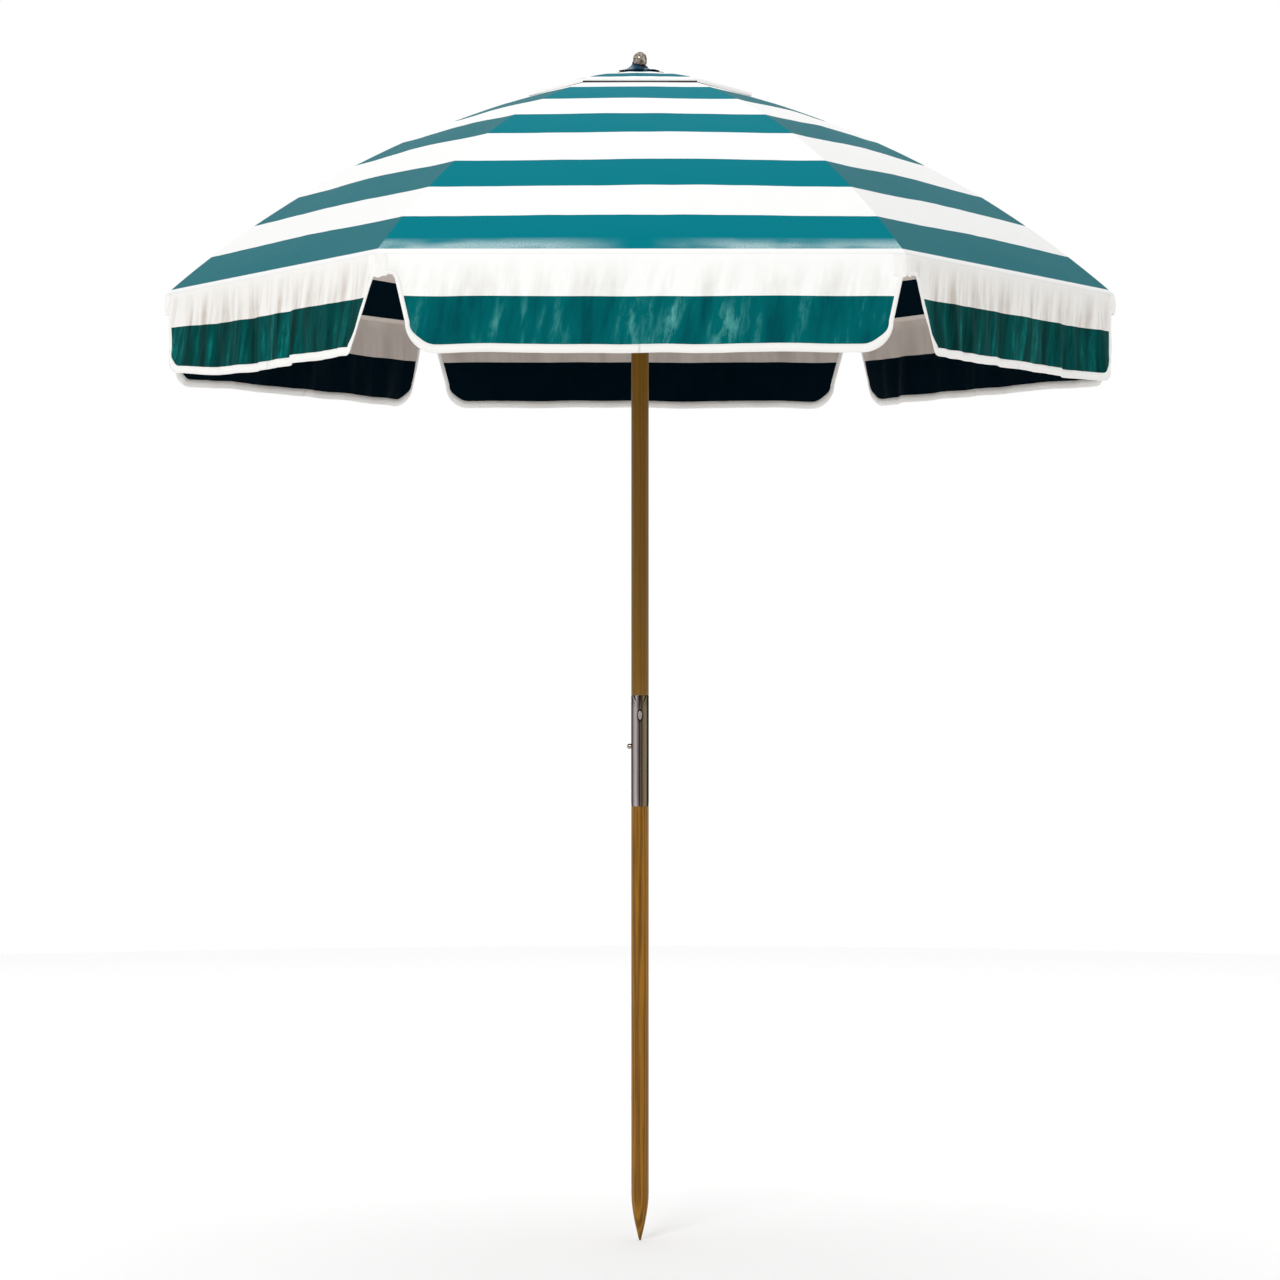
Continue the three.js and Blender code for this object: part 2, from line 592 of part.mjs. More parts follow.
// Lower length of pole and its snap joint.
addPiece('lower_pole', lowerPole(), MATERIALS.wood);
addPiece('spigot_tube', spigotTube(), MATERIALS.steel);
addPiece('button_clip', buttonClip(), MATERIALS.steel);
addPiece('snap_button', snapButton(), MATERIALS.chrome);

// Upper length of pole and what is fixed to it.
addPiece('upper_pole', upperPole(), MATERIALS.wood_dark);
addPiece('joint_sleeve', jointSleeve(), MATERIALS.steel);
addPiece('sleeve_rivet', sleeveRivet(), MATERIALS.steel);
addPiece('crown', crown(), MATERIALS.nylon);
addPiece('crown_pin', crossBar(0, PIN_Z, PIN_R, CROWN_COLLAR_R - 1), MATERIALS.steel);
addPiece('crown_hinge_wire', crownWire(), MATERIALS.rod);
addPiece('finial_washer', turnedRing(
  tubeProfile(STUD_R + 2 * GAP, WASHER_R, POLE_TOP_Z + GAP, POLE_TOP_Z + GAP + WASHER_T),
  SMALL_SIDES,
), MATERIALS.steel);
addPiece('finial', finial(), MATERIALS.chrome);
addPiece('apex_cone', turnedRing(CONE_PROFILE, SMALL_SIDES), MATERIALS.teal);
addPiece('vent_cap', hexRing(arcBand(VENT_RISE, VENT_RISE + CLOTH_T, VENT_HOLE_R, slopeAtRadius(VENT_R, VENT_RISE))),
  MATERIALS.white);

addPiece('runner', runner(), MATERIALS.nylon);
addPiece('runner_catch', runnerCatch(), MATERIALS.steel);

// What repeats at each rib. A gore carries the number of the rib before it, seen from outside with left before right.
const canopy = solidOf(hexRing(arcBand(CLOTH_INNER, CLOTH_INNER + CLOTH_T, CANOPY_HOLE_R, RIB_SLOPE_OUTER)));
const pieces = {
  rib: rib(),
  stretcher: stretcher(),
  corner: valanceCorner(),
  goreAfter: halfGore(canopy, 1),
  goreBefore: halfGore(canopy, -1),
  valanceAfter: halfValance(1),
  valanceBefore: halfValance(-1),
};
for (let i = 0; i < RIB_COUNT; i += 1) {
  const number = i + 1;
  const before = ((i + RIB_COUNT - 1) % RIB_COUNT) + 1;
  const turn = i * SECTOR;
  addPiece(`rib_${number}`, pieces.rib, MATERIALS.rod, turn);
  addPiece(`stretcher_${number}`, pieces.stretcher, MATERIALS.rod, turn);
  addPiece(`valance_corner_${number}`, pieces.corner, MATERIALS.white, turn);
  addPiece(`gore_${number}_left`, pieces.goreAfter, MATERIALS.teal, turn);
  addPiece(`gore_${before}_right`, pieces.goreBefore, MATERIALS.teal, turn);
  addPiece(`valance_${number}_left`, pieces.valanceAfter, MATERIALS.white, turn);
  addPiece(`valance_${before}_right`, pieces.valanceBefore, MATERIALS.white, turn);
}

export default umbrella;
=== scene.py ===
"""Looks of a striped beach umbrella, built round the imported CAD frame. Metres, +Z up, one gore facing -Y."""
import contextlib
import json
import math

import bmesh
import bpy
from mathutils import Matrix, Vector, noise


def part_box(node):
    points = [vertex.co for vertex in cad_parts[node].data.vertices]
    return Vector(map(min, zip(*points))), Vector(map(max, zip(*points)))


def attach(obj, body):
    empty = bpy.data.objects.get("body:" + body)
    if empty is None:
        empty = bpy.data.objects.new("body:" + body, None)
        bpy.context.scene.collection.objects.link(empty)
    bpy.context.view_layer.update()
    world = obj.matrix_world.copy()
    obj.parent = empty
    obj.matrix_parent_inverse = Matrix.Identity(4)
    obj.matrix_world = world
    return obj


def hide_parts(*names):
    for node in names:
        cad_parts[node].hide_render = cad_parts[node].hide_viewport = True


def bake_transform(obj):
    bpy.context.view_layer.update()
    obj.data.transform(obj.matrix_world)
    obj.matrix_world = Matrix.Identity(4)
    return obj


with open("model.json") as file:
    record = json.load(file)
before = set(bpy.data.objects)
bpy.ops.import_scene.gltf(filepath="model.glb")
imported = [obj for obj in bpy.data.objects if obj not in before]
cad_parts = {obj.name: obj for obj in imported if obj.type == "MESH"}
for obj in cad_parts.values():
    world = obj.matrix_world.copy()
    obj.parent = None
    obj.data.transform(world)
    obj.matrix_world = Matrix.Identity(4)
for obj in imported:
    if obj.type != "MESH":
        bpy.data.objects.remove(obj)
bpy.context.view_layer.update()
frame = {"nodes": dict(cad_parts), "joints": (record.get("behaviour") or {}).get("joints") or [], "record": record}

# ---- places, from the frame
MM = 0.001
JOINTS = {joint["name"]: joint for joint in frame["joints"]}
RIB_COUNT = 6
FRONT_GORE = 5
SECTOR = 2 * math.pi / RIB_COUNT
HALF_SECTOR = SECTOR / 2
APOTHEM_SHARE = math.cos(HALF_SECTOR)
PIVOT_R, _, PIVOT_Z = JOINTS["rib_1_fold"]["pos_m"]
CORNER_R, _, RIM_Z = JOINTS["corner_1_hang"]["pos_m"]
RUNNER_PIVOT_Z = 2 * JOINTS["stretcher_1_fold"]["pos_m"][2] - PIVOT_Z
SLEEVE_LOW, SLEEVE_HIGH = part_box("joint_sleeve")
POLE_R = SLEEVE_HIGH[0]
SPIGOT_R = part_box("spigot_tube")[1][0]
VALANCE_LOW_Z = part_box("valance_5_left")[0][2] - 4 * MM
SLIT_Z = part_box("valance_corner_1")[0][2]
FINIAL_TOP_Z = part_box("finial")[1][2]
BUTTON_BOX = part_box("snap_button")
RIVET_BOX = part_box("sleeve_rivet")

# ---- sizes of the cloth
# The canopy is ruled between the ribs. Its corners follow one arc, from the crown down to the rim.
ROOT_Z = PIVOT_Z + 6.6 * MM
INNER_SLOPE = math.radians(10)
CHORD_SLOPE = math.atan2(ROOT_Z - RIM_Z, CORNER_R - PIVOT_R)
OUTER_SLOPE = 2 * CHORD_SLOPE - INNER_SLOPE
ARC_R = math.hypot(CORNER_R - PIVOT_R, ROOT_Z - RIM_Z) / (2 * math.sin((OUTER_SLOPE - INNER_SLOPE) / 2))
CENTRE_R = PIVOT_R - ARC_R * math.sin(INNER_SLOPE)
CENTRE_Z = ROOT_Z - ARC_R * math.cos(INNER_SLOPE)
CLOTH_T = 0.7 * MM
CANOPY_HOLE_R = 52 * MM
BEND_R = 6 * MM
BEND_STEPS = 8
SWELL = 4.0 * MM
WIDE_BILLOW = 3.2 * MM
FINE_BILLOW = 0.9 * MM
SEAM_W = 3 * MM
SEAM_DIP = 0.12 * MM
FOLD_EASE = 0.3
COLUMNS = 26
ROWS = 90

# Stripes are measured up the cloth from the rim. The white one between WIDE_STRIPE_FROM and _TO is wider.
STRIPE = 104.5 * MM
STRIPE_START = 15 * MM
WIDE_STRIPE_FROM = 335 * MM
WIDE_STRIPE_TO = 405 * MM
WIDE_STRIPE_EXTRA = 22 * MM
VALANCE_STRIPE_DROP = 82.5 * MM
VENT_STRIPES = (28 * MM, 98 * MM)

# The vent cap stands VENT_RISE off the canopy, and sinks to the cone at its middle. Its lip turns down.
VENT_R = 242 * MM
VENT_HOLE_R = 44 * MM
VENT_RISE = 8 * MM
VENT_SINK = 6 * MM
VENT_COLUMNS = 12
VENT_ROWS = 26
VENT_BILLOW = 0.35
LIP_DROP = 7.5 * MM
FRONT_LIP_DROP = 4.5 * MM
LIP_OUT = 1.2 * MM

VALANCE_APOTHEM = CORNER_R * APOTHEM_SHARE + 0.6 * MM
CORNER_U = VALANCE_APOTHEM * math.tan(HALF_SECTOR)
VALANCE_TOP_Z = RIM_Z - 3.5 * MM
BROAD_FOLD = 10 * MM
SLANTED_FOLD = 4.0 * MM
NARROW_FOLD = 7 * MM
FINE_FOLD = 2.2 * MM
FLARE = 22 * MM
HEM_WAVE = 3 * MM
VALANCE_TUCK = 0.8 * MM
VALANCE_SEAM_DIP = 0.5 * MM
FRONT_TUCK_U = 40 * MM
FRONT_TUCK_W = 2.5 * MM
FRONT_TUCK_DIP = 0.9 * MM
VALANCE_COLUMNS = 44
CORNER_COLUMNS = 5
VALANCE_LOW_ROWS = 30
VALANCE_HIGH_ROWS = 10
BINDING_W = 17 * MM
SIDE_BINDING_W = 9 * MM
BINDING_T = 1.3 * MM
BINDING_OVERLAP = 1.0 * MM
# The tape's section: [share of its width from the edge, share of its thickness], from front to back.
TAPE_SECTION = [
    (1.0, 1), (0.5, 1.25), (0.06, 1.0), (0.0, 0.0), (0.06, -1.0), (0.5, -1.25), (1.0, -1), (1.0, 0.0),
]
HEM_STEPS = 48
ROUND_STEPS = 14
SLIT_STEPS = 12
TOP_STEPS = 4

# [gap at the slit's top, gap at its foot, radius of the hem's corner], from the rib's line. The cloth is
# pulled to one side at the two front slits, and hangs evenly at the others. Keys are the gore and the side.
EVEN_SLIT = (22.5 * MM, 48 * MM, 55 * MM)
PULLED_SLITS = {
    (5, 1): (38 * MM, 60 * MM, 58 * MM),
    (5, -1): (4 * MM, 24 * MM, 60 * MM),
    (4, -1): (5 * MM, 76 * MM, 16 * MM),
    (6, 1): (48 * MM, 112 * MM, 14 * MM),
}
LIFTED_HEM = (4, 1)
HEM_LIFT = 18 * MM

# The cone, the throat of cloth under it, and the pockets at the ribs' ends.
CONE_NECK_R = 16.4 * MM
CONE_COLLAR_H = 15.0 * MM
CONE_CLOTH_T = 1.0 * MM
THROAT_CLOTH_T = 0.8 * MM
THROAT_TUCK = 3 * MM
THROAT_DROP = 1.4 * MM
THROAT_LAP = 0.4 * MM
CONE_FRONT_DROP = 6.0 * MM
CONE_RAG = 1.0 * MM
CONE_HIGH_SIDE = math.radians(135)
POCKET_HALF_W = 21 * MM
POCKET_SWELL = 2.2 * MM
POCKET_CRUMPLE = 2.6 * MM
POCKET_RAG = 5 * MM
POCKET_OUT = 0.8 * MM
POCKET_CLOTH_T = 1.0 * MM

# ---- sizes of the pole and metalwork
GAP = 0.3 * MM
HARD_EDGE = math.radians(50)
POLE_STEPS = 29
POLE_CHAMFER = 1 * MM
SPIKE_STEPS = 24
SPIKE_ROUND = 0.6 * MM
SPIKE_TIP_R = 2.2 * MM
SPIKE_H = 107 * MM
SPIGOT_CORE_R = 15.9 * MM
NECK_R = 15 * MM
STUD_R = 4.0 * MM
STUD_LOW_Z = 2521.5 * MM
STUD_HOLE_R = 4.3 * MM
STUD_HOLE_Z = 2520 * MM
SLEEVE_BORE_R = 17.5 * MM
CRIMP_LOW_Z = SLEEVE_HIGH[2] - 27 * MM
CRIMP_COUNT = 9
CRIMP_DEPTH = 1.1 * MM
SEAM_DEPTH = 0.5 * MM
DIMPLE_DEPTH = 0.7 * MM
SLEEVE_SEAM_W = 0.7 * MM
SLEEVE_WALL = 0.4 * MM
LIP_IN = 0.4 * MM
LIP_H = 1.2 * MM
RIVET_Z = (RIVET_BOX[0][2] + RIVET_BOX[1][2]) / 2
RIVET_HALF_W = 4.6 * MM
RIVET_HALF_H = 9.6 * MM
BUTTON_Z = (BUTTON_BOX[0][2] + BUTTON_BOX[1][2]) / 2
BUTTON_HOLE_R = 5.85 * MM
BUTTON_DOME_H = 3.2 * MM
DRILL_DEPTH = 12 * MM
BUTTON_STEPS = 8
WIRE_R = 1.2 * MM

# Millimetres. Rivet: [share of its half-size, height over the pole] and [radius, height over the pole].
# Acorn: [radius, height over its seat].
RIVET_HEAD = [(0.0, 1.1), (0.35, 1.5), (0.6, 1.7), (0.82, 1.4), (0.95, 0.8), (1.0, 0.1), (1.0, -0.5)]
RIVET_SHANK = [(2.5, -0.5), (2.5, -9.0), (0.0, -9.0)]
ACORN = [
    (10.5, 0), (11.2, 0.7), (11.2, 2.0), (10.6, 2.8), (12.2, 4.4), (13.4, 6.6), (14.2, 9.4), (14.8, 13.0),
    (15, 17), (14.8, 21.0), (14.2, 24.6), (12.8, 28.0), (10.6, 30.8), (7.6, 33.2), (4.8, 34.7), (2.4, 35.5),
    (0, 35.7),
]


# ---- mesh helpers
def new_mesh(name, points, faces, uvs=None, smooth=True):
    mesh = bpy.data.meshes.new(name)
    mesh.from_pydata([tuple(p) for p in points], [], faces)
    mesh.validate()
    if uvs:
        layer = mesh.uv_layers.new(name="cloth")
        for loop in mesh.loops:
            layer.data[loop.index].uv = uvs[loop.vertex_index]
    for polygon in mesh.polygons:
        polygon.use_smooth = smooth
    piece = bpy.data.objects.new(name, mesh)
    bpy.context.scene.collection.objects.link(piece)
    return piece


def ring_point(radius, angle, height):
    return Vector((radius * math.cos(angle), radius * math.sin(angle), height))


def turns(count):
    """Angles of a whole turn, in equal steps."""
    return [2 * math.pi * i / count for i in range(count)]


def grid_faces(columns, rows, base=0, wrap=False):
    """Quads of a grid whose points are stored row by row."""
    faces = []
    for row in range(rows - 1):
        for column in range(columns if wrap else columns - 1):
            after = (column + 1) % columns
            faces.append((
                base + row * columns + column,
                base + row * columns + after,
                base + (row + 1) * columns + after,
                base + (row + 1) * columns + column,
            ))
    return faces


def lathe(name, profile, sides=64, sharp=math.radians(35)):
    """A closed shape turned about +Z, from [radius, height] points that start and end on the axis."""
    points = [ring_point(radius, angle, height) for radius, height in profile for angle in turns(sides)]
    piece = new_mesh(name, points, grid_faces(sides, len(profile), wrap=True))
    weld(piece)
    sharpen(piece, sharp)
    return piece


@contextlib.contextmanager
def open_mesh(piece):
    """The piece's mesh, open for editing, and written back at the end."""
    work = bmesh.new()
    work.from_mesh(piece.data)
    yield work
    work.to_mesh(piece.data)
    work.free()


def weld(piece, distance=1e-6):
    with open_mesh(piece) as work:
        bmesh.ops.remove_doubles(work, verts=work.verts, dist=distance)
        bmesh.ops.dissolve_degenerate(work, edges=work.edges, dist=distance)
        bmesh.ops.recalc_face_normals(work, faces=work.faces)


def recalculate(piece):
    with open_mesh(piece) as work:
        bmesh.ops.recalc_face_normals(work, faces=work.faces)


def sharpen(piece, angle):
    piece.data.set_sharp_from_angle(angle=angle)


def thicken(piece, thickness, offset, inner_slot=0):
    """Gives cloth its thickness. Its free edges are sharp, so that their shading doesn't spread over it."""
    uses = {}
    for polygon in piece.data.polygons:
        for key in polygon.edge_keys:
            uses[key] = uses.get(key, 0) + 1
    for edge in piece.data.edges:
        edge.use_edge_sharp = uses.get(tuple(sorted(edge.vertices)), 0) == 1
    solid = piece.modifiers.new("thickness", "SOLIDIFY")
    solid.thickness = thickness
    solid.offset = offset
    solid.material_offset = inner_slot


def paint(piece, *materials):
    piece.data.materials.clear()
    for material in materials:
        piece.data.materials.append(material)


def turn_about_z(point, angle):
    cosine, sine = math.cos(angle), math.sin(angle)
    return Vector((point[0] * cosine - point[1] * sine, point[0] * sine + point[1] * cosine, point[2]))


def smooth_step(low, high, value):
    share = min(1.0, max(0.0, (value - low) / (high - low)))
    return share * share * (3 - 2 * share)


def ripple(x, y, z, height):
    """Smooth noise at a place, at most about height either way."""
    return noise.noise(Vector((x, y, z))) * height


def dip(distance, width):
    """1 at distance 0, and falling smoothly to nothing past the width."""
    return math.exp(-((distance / width) ** 2))


# ---- node helpers
class Shader:
    """A material's node tree, built by short calls."""

    def __init__(self, name):
        self.material = bpy.data.materials.new(name)
        self.material.use_nodes = True
        self.tree = self.material.node_tree
        self.out = next(n for n in self.tree.nodes if n.type == "BSDF_PRINCIPLED")

    def add(self, kind, inputs=None, **settings):
        node = self.tree.nodes.new(kind)
        for key, value in settings.items():
            setattr(node, key, value)
        for key, value in (inputs or {}).items():
            self.feed(node.inputs[key], value)
        return node

    def feed(self, socket, value):
        if isinstance(value, bpy.types.NodeSocket):
            self.tree.links.new(value, socket)
        else:
            socket.default_value = value

    def math(self, operation, a, b=0.0, clamp=False):
        node = self.add("ShaderNodeMath", {0: a, 1: b}, operation=operation, use_clamp=clamp)
        return node.outputs[0]

    def times(self, a, b, clamp=False):
        return self.math("MULTIPLY", a, b, clamp)

    def plus(self, a, b):
        return self.math("ADD", a, b)

    def minus(self, a, b):
        return self.math("SUBTRACT", a, b)

    def mix(self, share, a, b, blend="MIX"):
        node = self.add("ShaderNodeMix", data_type="RGBA", blend_type=blend)
        self.feed(node.inputs[0], share)
        self.feed(node.inputs[6], a)
        self.feed(node.inputs[7], b)
        return node.outputs[2]

    def scaled(self, source, scale):
        return self.add("ShaderNodeVectorMath", {0: source, 1: scale}, operation="MULTIPLY").outputs[0]

    def noise(self, vector, scale, detail=3.0, rough=0.5):
        inputs = {"Vector": vector, "Scale": scale, "Detail": detail, "Roughness": rough}
        return self.add("ShaderNodeTexNoise", inputs).outputs["Fac"]

    def stretched_noise(self, source, scale, detail=3.0, rough=0.5):
        return self.noise(self.scaled(source, scale), 1.0, detail, rough)

    def ramp(self, share, low, high):
        """0 at low and 1 at high, straight between."""
        node = self.add("ShaderNodeMapRange", {0: share, 1: low, 2: high, 3: 0.0, 4: 1.0}, clamp=True)
        return node.outputs[0]

    def object_place(self):
        return self.add("ShaderNodeTexCoord").outputs["Object"]

    def bump(self, height, strength, distance, normal=None):
        node = self.add("ShaderNodeBump", {"Height": height, "Strength": strength, "Distance": distance})
        if normal is not None:
            self.feed(node.inputs["Normal"], normal)
        return node.outputs[0]

    def surface(self, **values):
        """Sets or links sockets of the surface shader. An underscore stands for a space."""
        for name, value in values.items():
            self.feed(self.out.inputs[name.replace("_", " ")], value)

    def shaded(self, base, shade):
        """Gives the surface a base colour that shade, near 1, makes darker or lighter."""
        tone = self.add("ShaderNodeCombineXYZ", {0: shade, 1: shade, 2: shade}).outputs[0]
        self.surface(Base_Color=self.mix(1.0, base, tone, "MULTIPLY"))


def colour(red, green, blue):
    """A screen colour, 0 to 255, as linear light."""
    linear = [((c / 255 + 0.055) / 1.055) ** 2.4 if c > 10 else c / 255 / 12.92 for c in (red, green, blue)]
    return (*linear, 1.0)


# ---- cloth materials
WEAVE_SCALE = 150.0
WEAVE_DEPTH = 0.3 * MM
CREASE_DEPTH = 4 * MM
CLOTH_IOR = 1.2
VALANCE_IOR = 1.15


def cloth_coordinates(shader):
    """The cloth's flat coordinates in metres: all of them, across the gore, and up from the rim."""
    layer = shader.add("ShaderNodeUVMap", uv_map="cloth").outputs[0]
    parts = shader.add("ShaderNodeSeparateXYZ", {0: layer})
    return layer, parts.outputs[0], parts.outputs[1]


def threads(shader, layer, direction):
    waves = {"Vector": layer, "Scale": WEAVE_SCALE, "Distortion": 0.4, "Detail": 1.0}
    return shader.add("ShaderNodeTexWave", waves, bands_direction=direction).outputs["Fac"]


def woven(shader, layer, base, roughness, spread=0.06):
    """Weave, soft creases, and a faint mottling that spread sets, over a base colour."""
    weave = shader.times(threads(shader, layer, "X"), threads(shader, layer, "Y"))
    mottle = shader.noise(layer, 22.0, 5.0, 0.6)
    creases = shader.stretched_noise(layer, (9.0, 3.0, 1.0), 3.0, 0.55)
    shader.shaded(base, shader.plus(shader.times(shader.minus(mottle, 0.5), spread), 1.0))
    fine = shader.bump(weave, 0.12, WEAVE_DEPTH)
    shader.surface(
        Roughness=shader.plus(shader.times(mottle, 0.12), roughness - 0.06),
        Normal=shader.bump(creases, 0.25, CREASE_DEPTH, fine),
    )
    return shader.material


def stripe_mask(shader, v, layer):
    """1 on the coloured stripes, which run along the rim, with an edge as uneven as a printed one."""
    wobble = shader.times(shader.minus(shader.noise(layer, 30.0, 2.0), 0.5), 1.2 * MM)
    place = shader.plus(shader.minus(v, STRIPE_START), wobble)
    return shader.math("LESS_THAN", shader.math("FLOORED_MODULO", place, 2 * STRIPE), STRIPE)


def canopy_cloth(name, teal, white, roughness, spread, specular, painted_hem_highlight_strength=0.0):
    """Stripes along the rim. Where the hem bends over, a grainy pale band of painted highlight is laid on the
    teal.
    """
    shader = Shader(name)
    layer, u, v = cloth_coordinates(shader)
    widened = shader.times(shader.ramp(v, WIDE_STRIPE_FROM, WIDE_STRIPE_TO), WIDE_STRIPE_EXTRA)
    stripes = stripe_mask(shader, shader.minus(v, widened), layer)
    base = shader.mix(stripes, white, teal)
    if painted_hem_highlight_strength:
        # Painted highlight: a grainy pale band on the teal just above the rim bend, in patches.
        grain = shader.ramp(shader.noise(layer, 420.0, 4.0, 0.7), 0.3, 0.62)
        band = shader.times(stripes, shader.ramp(v, STRIPE_START + 34 * MM, STRIPE_START + 12 * MM))
        middle = shader.ramp(shader.math("ABSOLUTE", u), 20 * MM, 180 * MM)
        patches = shader.ramp(shader.stretched_noise(layer, (7.0, 16.0, 1.0), 2.0), 0.3, 0.55)
        share = shader.times(shader.times(band, grain), shader.times(middle, patches))
        base = shader.mix(shader.times(share, painted_hem_highlight_strength), base, PAINTED_HEM_HIGHLIGHT)
    shader.surface(IOR=CLOTH_IOR, Specular_IOR_Level=specular)
    return woven(shader, layer, base, roughness, spread)


def valance_cloth(name, teal, painted_shade_teal, white, painted_shade_white, gather, painted_highlight_strength, painted_fold_highlight_tone):
    """The same stripes on hanging cloth, with painted light on its folds: pale streaks of painted highlight on the
    teal, and painted shade in the fold troughs on teal and white.
    """
    shader = Shader(name)
    layer, _, v = cloth_coordinates(shader)
    slanted = shader.add("ShaderNodeMapping", {"Vector": layer, "Rotation": (0.0, 0.0, 0.16)}).outputs[0]
    long_folds = shader.stretched_noise(slanted, (24.0 * gather, 3.2, 1.0), 4.0, 0.6)
    short_folds = shader.stretched_noise(slanted, (46.0, 15.0, 1.0), 5.0, 0.65)
    hanging = shader.ramp(v, -4 * MM, -60 * MM)
    # Painted shade in the fold troughs, growing down from the rim.
    deep = shader.minus(1.0, shader.times(hanging, shader.ramp(long_folds, 0.56, 0.36)))
    # Painted highlight: pale streaks along the folds on the teal, stronger on the low stripe.
    painted_fold_highlight = shader.times(shader.ramp(long_folds, 0.52, 0.72), shader.ramp(short_folds, 0.44, 0.68))
    low = shader.ramp(v, -VALANCE_STRIPE_DROP, -VALANCE_STRIPE_DROP - 40 * MM)
    painted_fold_highlight = shader.times(painted_fold_highlight, shader.times(shader.plus(low, 0.55), painted_highlight_strength), clamp=True)
    teal_tone = shader.mix(painted_fold_highlight, shader.mix(deep, painted_shade_teal, teal), painted_fold_highlight_tone)
    white_tone = shader.mix(deep, painted_shade_white, white)
    below = shader.math("LESS_THAN", shader.plus(v, VALANCE_STRIPE_DROP), 0.0)
    shader.surface(IOR=VALANCE_IOR, Specular_IOR_Level=0.1)
    return woven(shader, layer, shader.mix(below, white_tone, teal_tone), 0.6)


def vent_cloth(name, teal, white, roughness):
    """One stripe round the vent cap, with a wavy edge."""
    shader = Shader(name)
    layer, _, v = cloth_coordinates(shader)
    waves = shader.times(shader.minus(shader.noise(layer, 26.0, 2.0), 0.5), 14 * MM)
    place = shader.plus(v, waves)
    low, high = VENT_STRIPES
    inside = shader.times(shader.math("GREATER_THAN", place, low), shader.math("LESS_THAN", place, high))
    shader.surface(IOR=CLOTH_IOR, Specular_IOR_Level=0.08)
    return woven(shader, layer, shader.mix(inside, white, teal), roughness)


def plain_cloth(name, base, roughness, spread=0.06):
    shader = Shader(name)
    layer, _, _ = cloth_coordinates(shader)
    shader.surface(Specular_IOR_Level=0.15)
    return woven(shader, layer, base, roughness, spread)


# ---- hard materials
LINE_DEPTH = 0.2 * MM
GRAIN_DEPTH = 0.6 * MM

# Place across the sleeve, 0 on its left edge to 1 on its right, and the tone painted there: bands of painted
# reflection that run the sleeve's length.
SLEEVE_PAINTED_REFLECTIONS = (
    (0.02, (70, 64, 64)), (0.1, (120, 110, 112)), (0.26, (205, 192, 194)), (0.38, (128, 116, 116)),
    (0.46, (62, 54, 52)), (0.53, (112, 100, 96)), (0.6, (74, 44, 24)), (0.68, (132, 116, 88)),
    (0.82, (128, 118, 92)), (0.93, (52, 48, 48)),
)


def ash_wood(name, pale, dark, strength):
    """Lacquered ash: long streaks and rings of grain, and short dark pores, with the heart off the axis."""
    shader = Shader(name)
    place = shader.object_place()
    streaks = shader.stretched_noise(place, (60.0, 60.0, 2.2), 6.0, 0.62)
    pores = shader.stretched_noise(place, (420.0, 420.0, 9.0), 3.0, 0.6)
    heart = shader.add("ShaderNodeVectorMath", {0: place, 1: (0.011, 0.034, 0.0)}, operation="ADD").outputs[0]
    rings = shader.add("ShaderNodeTexWave", {
        "Vector": shader.scaled(heart, (42.0, 42.0, 1.7)), "Scale": 1.0, "Distortion": 9.0, "Detail": 3.0,
        "Detail Scale": 0.9, "Detail Roughness": 0.6,
    }, wave_type="RINGS", rings_direction="Z").outputs["Fac"]
    blotches = shader.stretched_noise(place, (25.0, 25.0, 7.0), 3.0)
    grain = shader.plus(shader.times(streaks, 0.5), shader.times(rings, 0.3))
    grain = shader.plus(grain, shader.times(blotches, 0.2))
    tone = shader.mix(shader.times(shader.ramp(grain, 0.36, 0.72), strength), pale, dark)
    spots = shader.times(shader.ramp(pores, 0.6, 0.74), 0.35 * strength)
    shader.surface(
        Base_Color=shader.mix(spots, tone, dark),
        Roughness=shader.plus(shader.times(grain, 0.12), 0.3),
        Specular_IOR_Level=0.18,
        Coat_Weight=0.05,
        Coat_Roughness=0.2,
        Normal=shader.bump(grain, 0.12, GRAIN_DEPTH),
    )
    return shader.material


def brushed_metal(name, base, roughness, direction, streak=0.12, edge=None, painted_reflection_tone=None):
    """Metal with fine lines. Its edge tint keeps a bright room from washing out its outline."""
    shader = Shader(name)
    place = shader.object_place()
    # Painted reflection: brownish patches painted into the base colour stand for the brownish reflections in the
    # chrome.
    if painted_reflection_tone:
        patches = shader.ramp(shader.noise(place, 130.0, 4.0, 0.6), 0.42, 0.6)
        base = shader.mix(patches, base, painted_reflection_tone)
    if edge:
        shader.surface(Specular_Tint=edge)
    lines = shader.stretched_noise(place, direction, 4.0, 0.6)
    smears = shader.noise(place, 38.0, 3.0, 0.6)
    shader.shaded(base, shader.plus(shader.times(lines, streak), 1.0 - streak / 2))
    shader.surface(
        Metallic=1.0,
        Roughness=shader.plus(shader.times(smears, 0.14), roughness - 0.07),
        Normal=shader.bump(lines, 0.06, LINE_DEPTH),
    )
    return shader.material


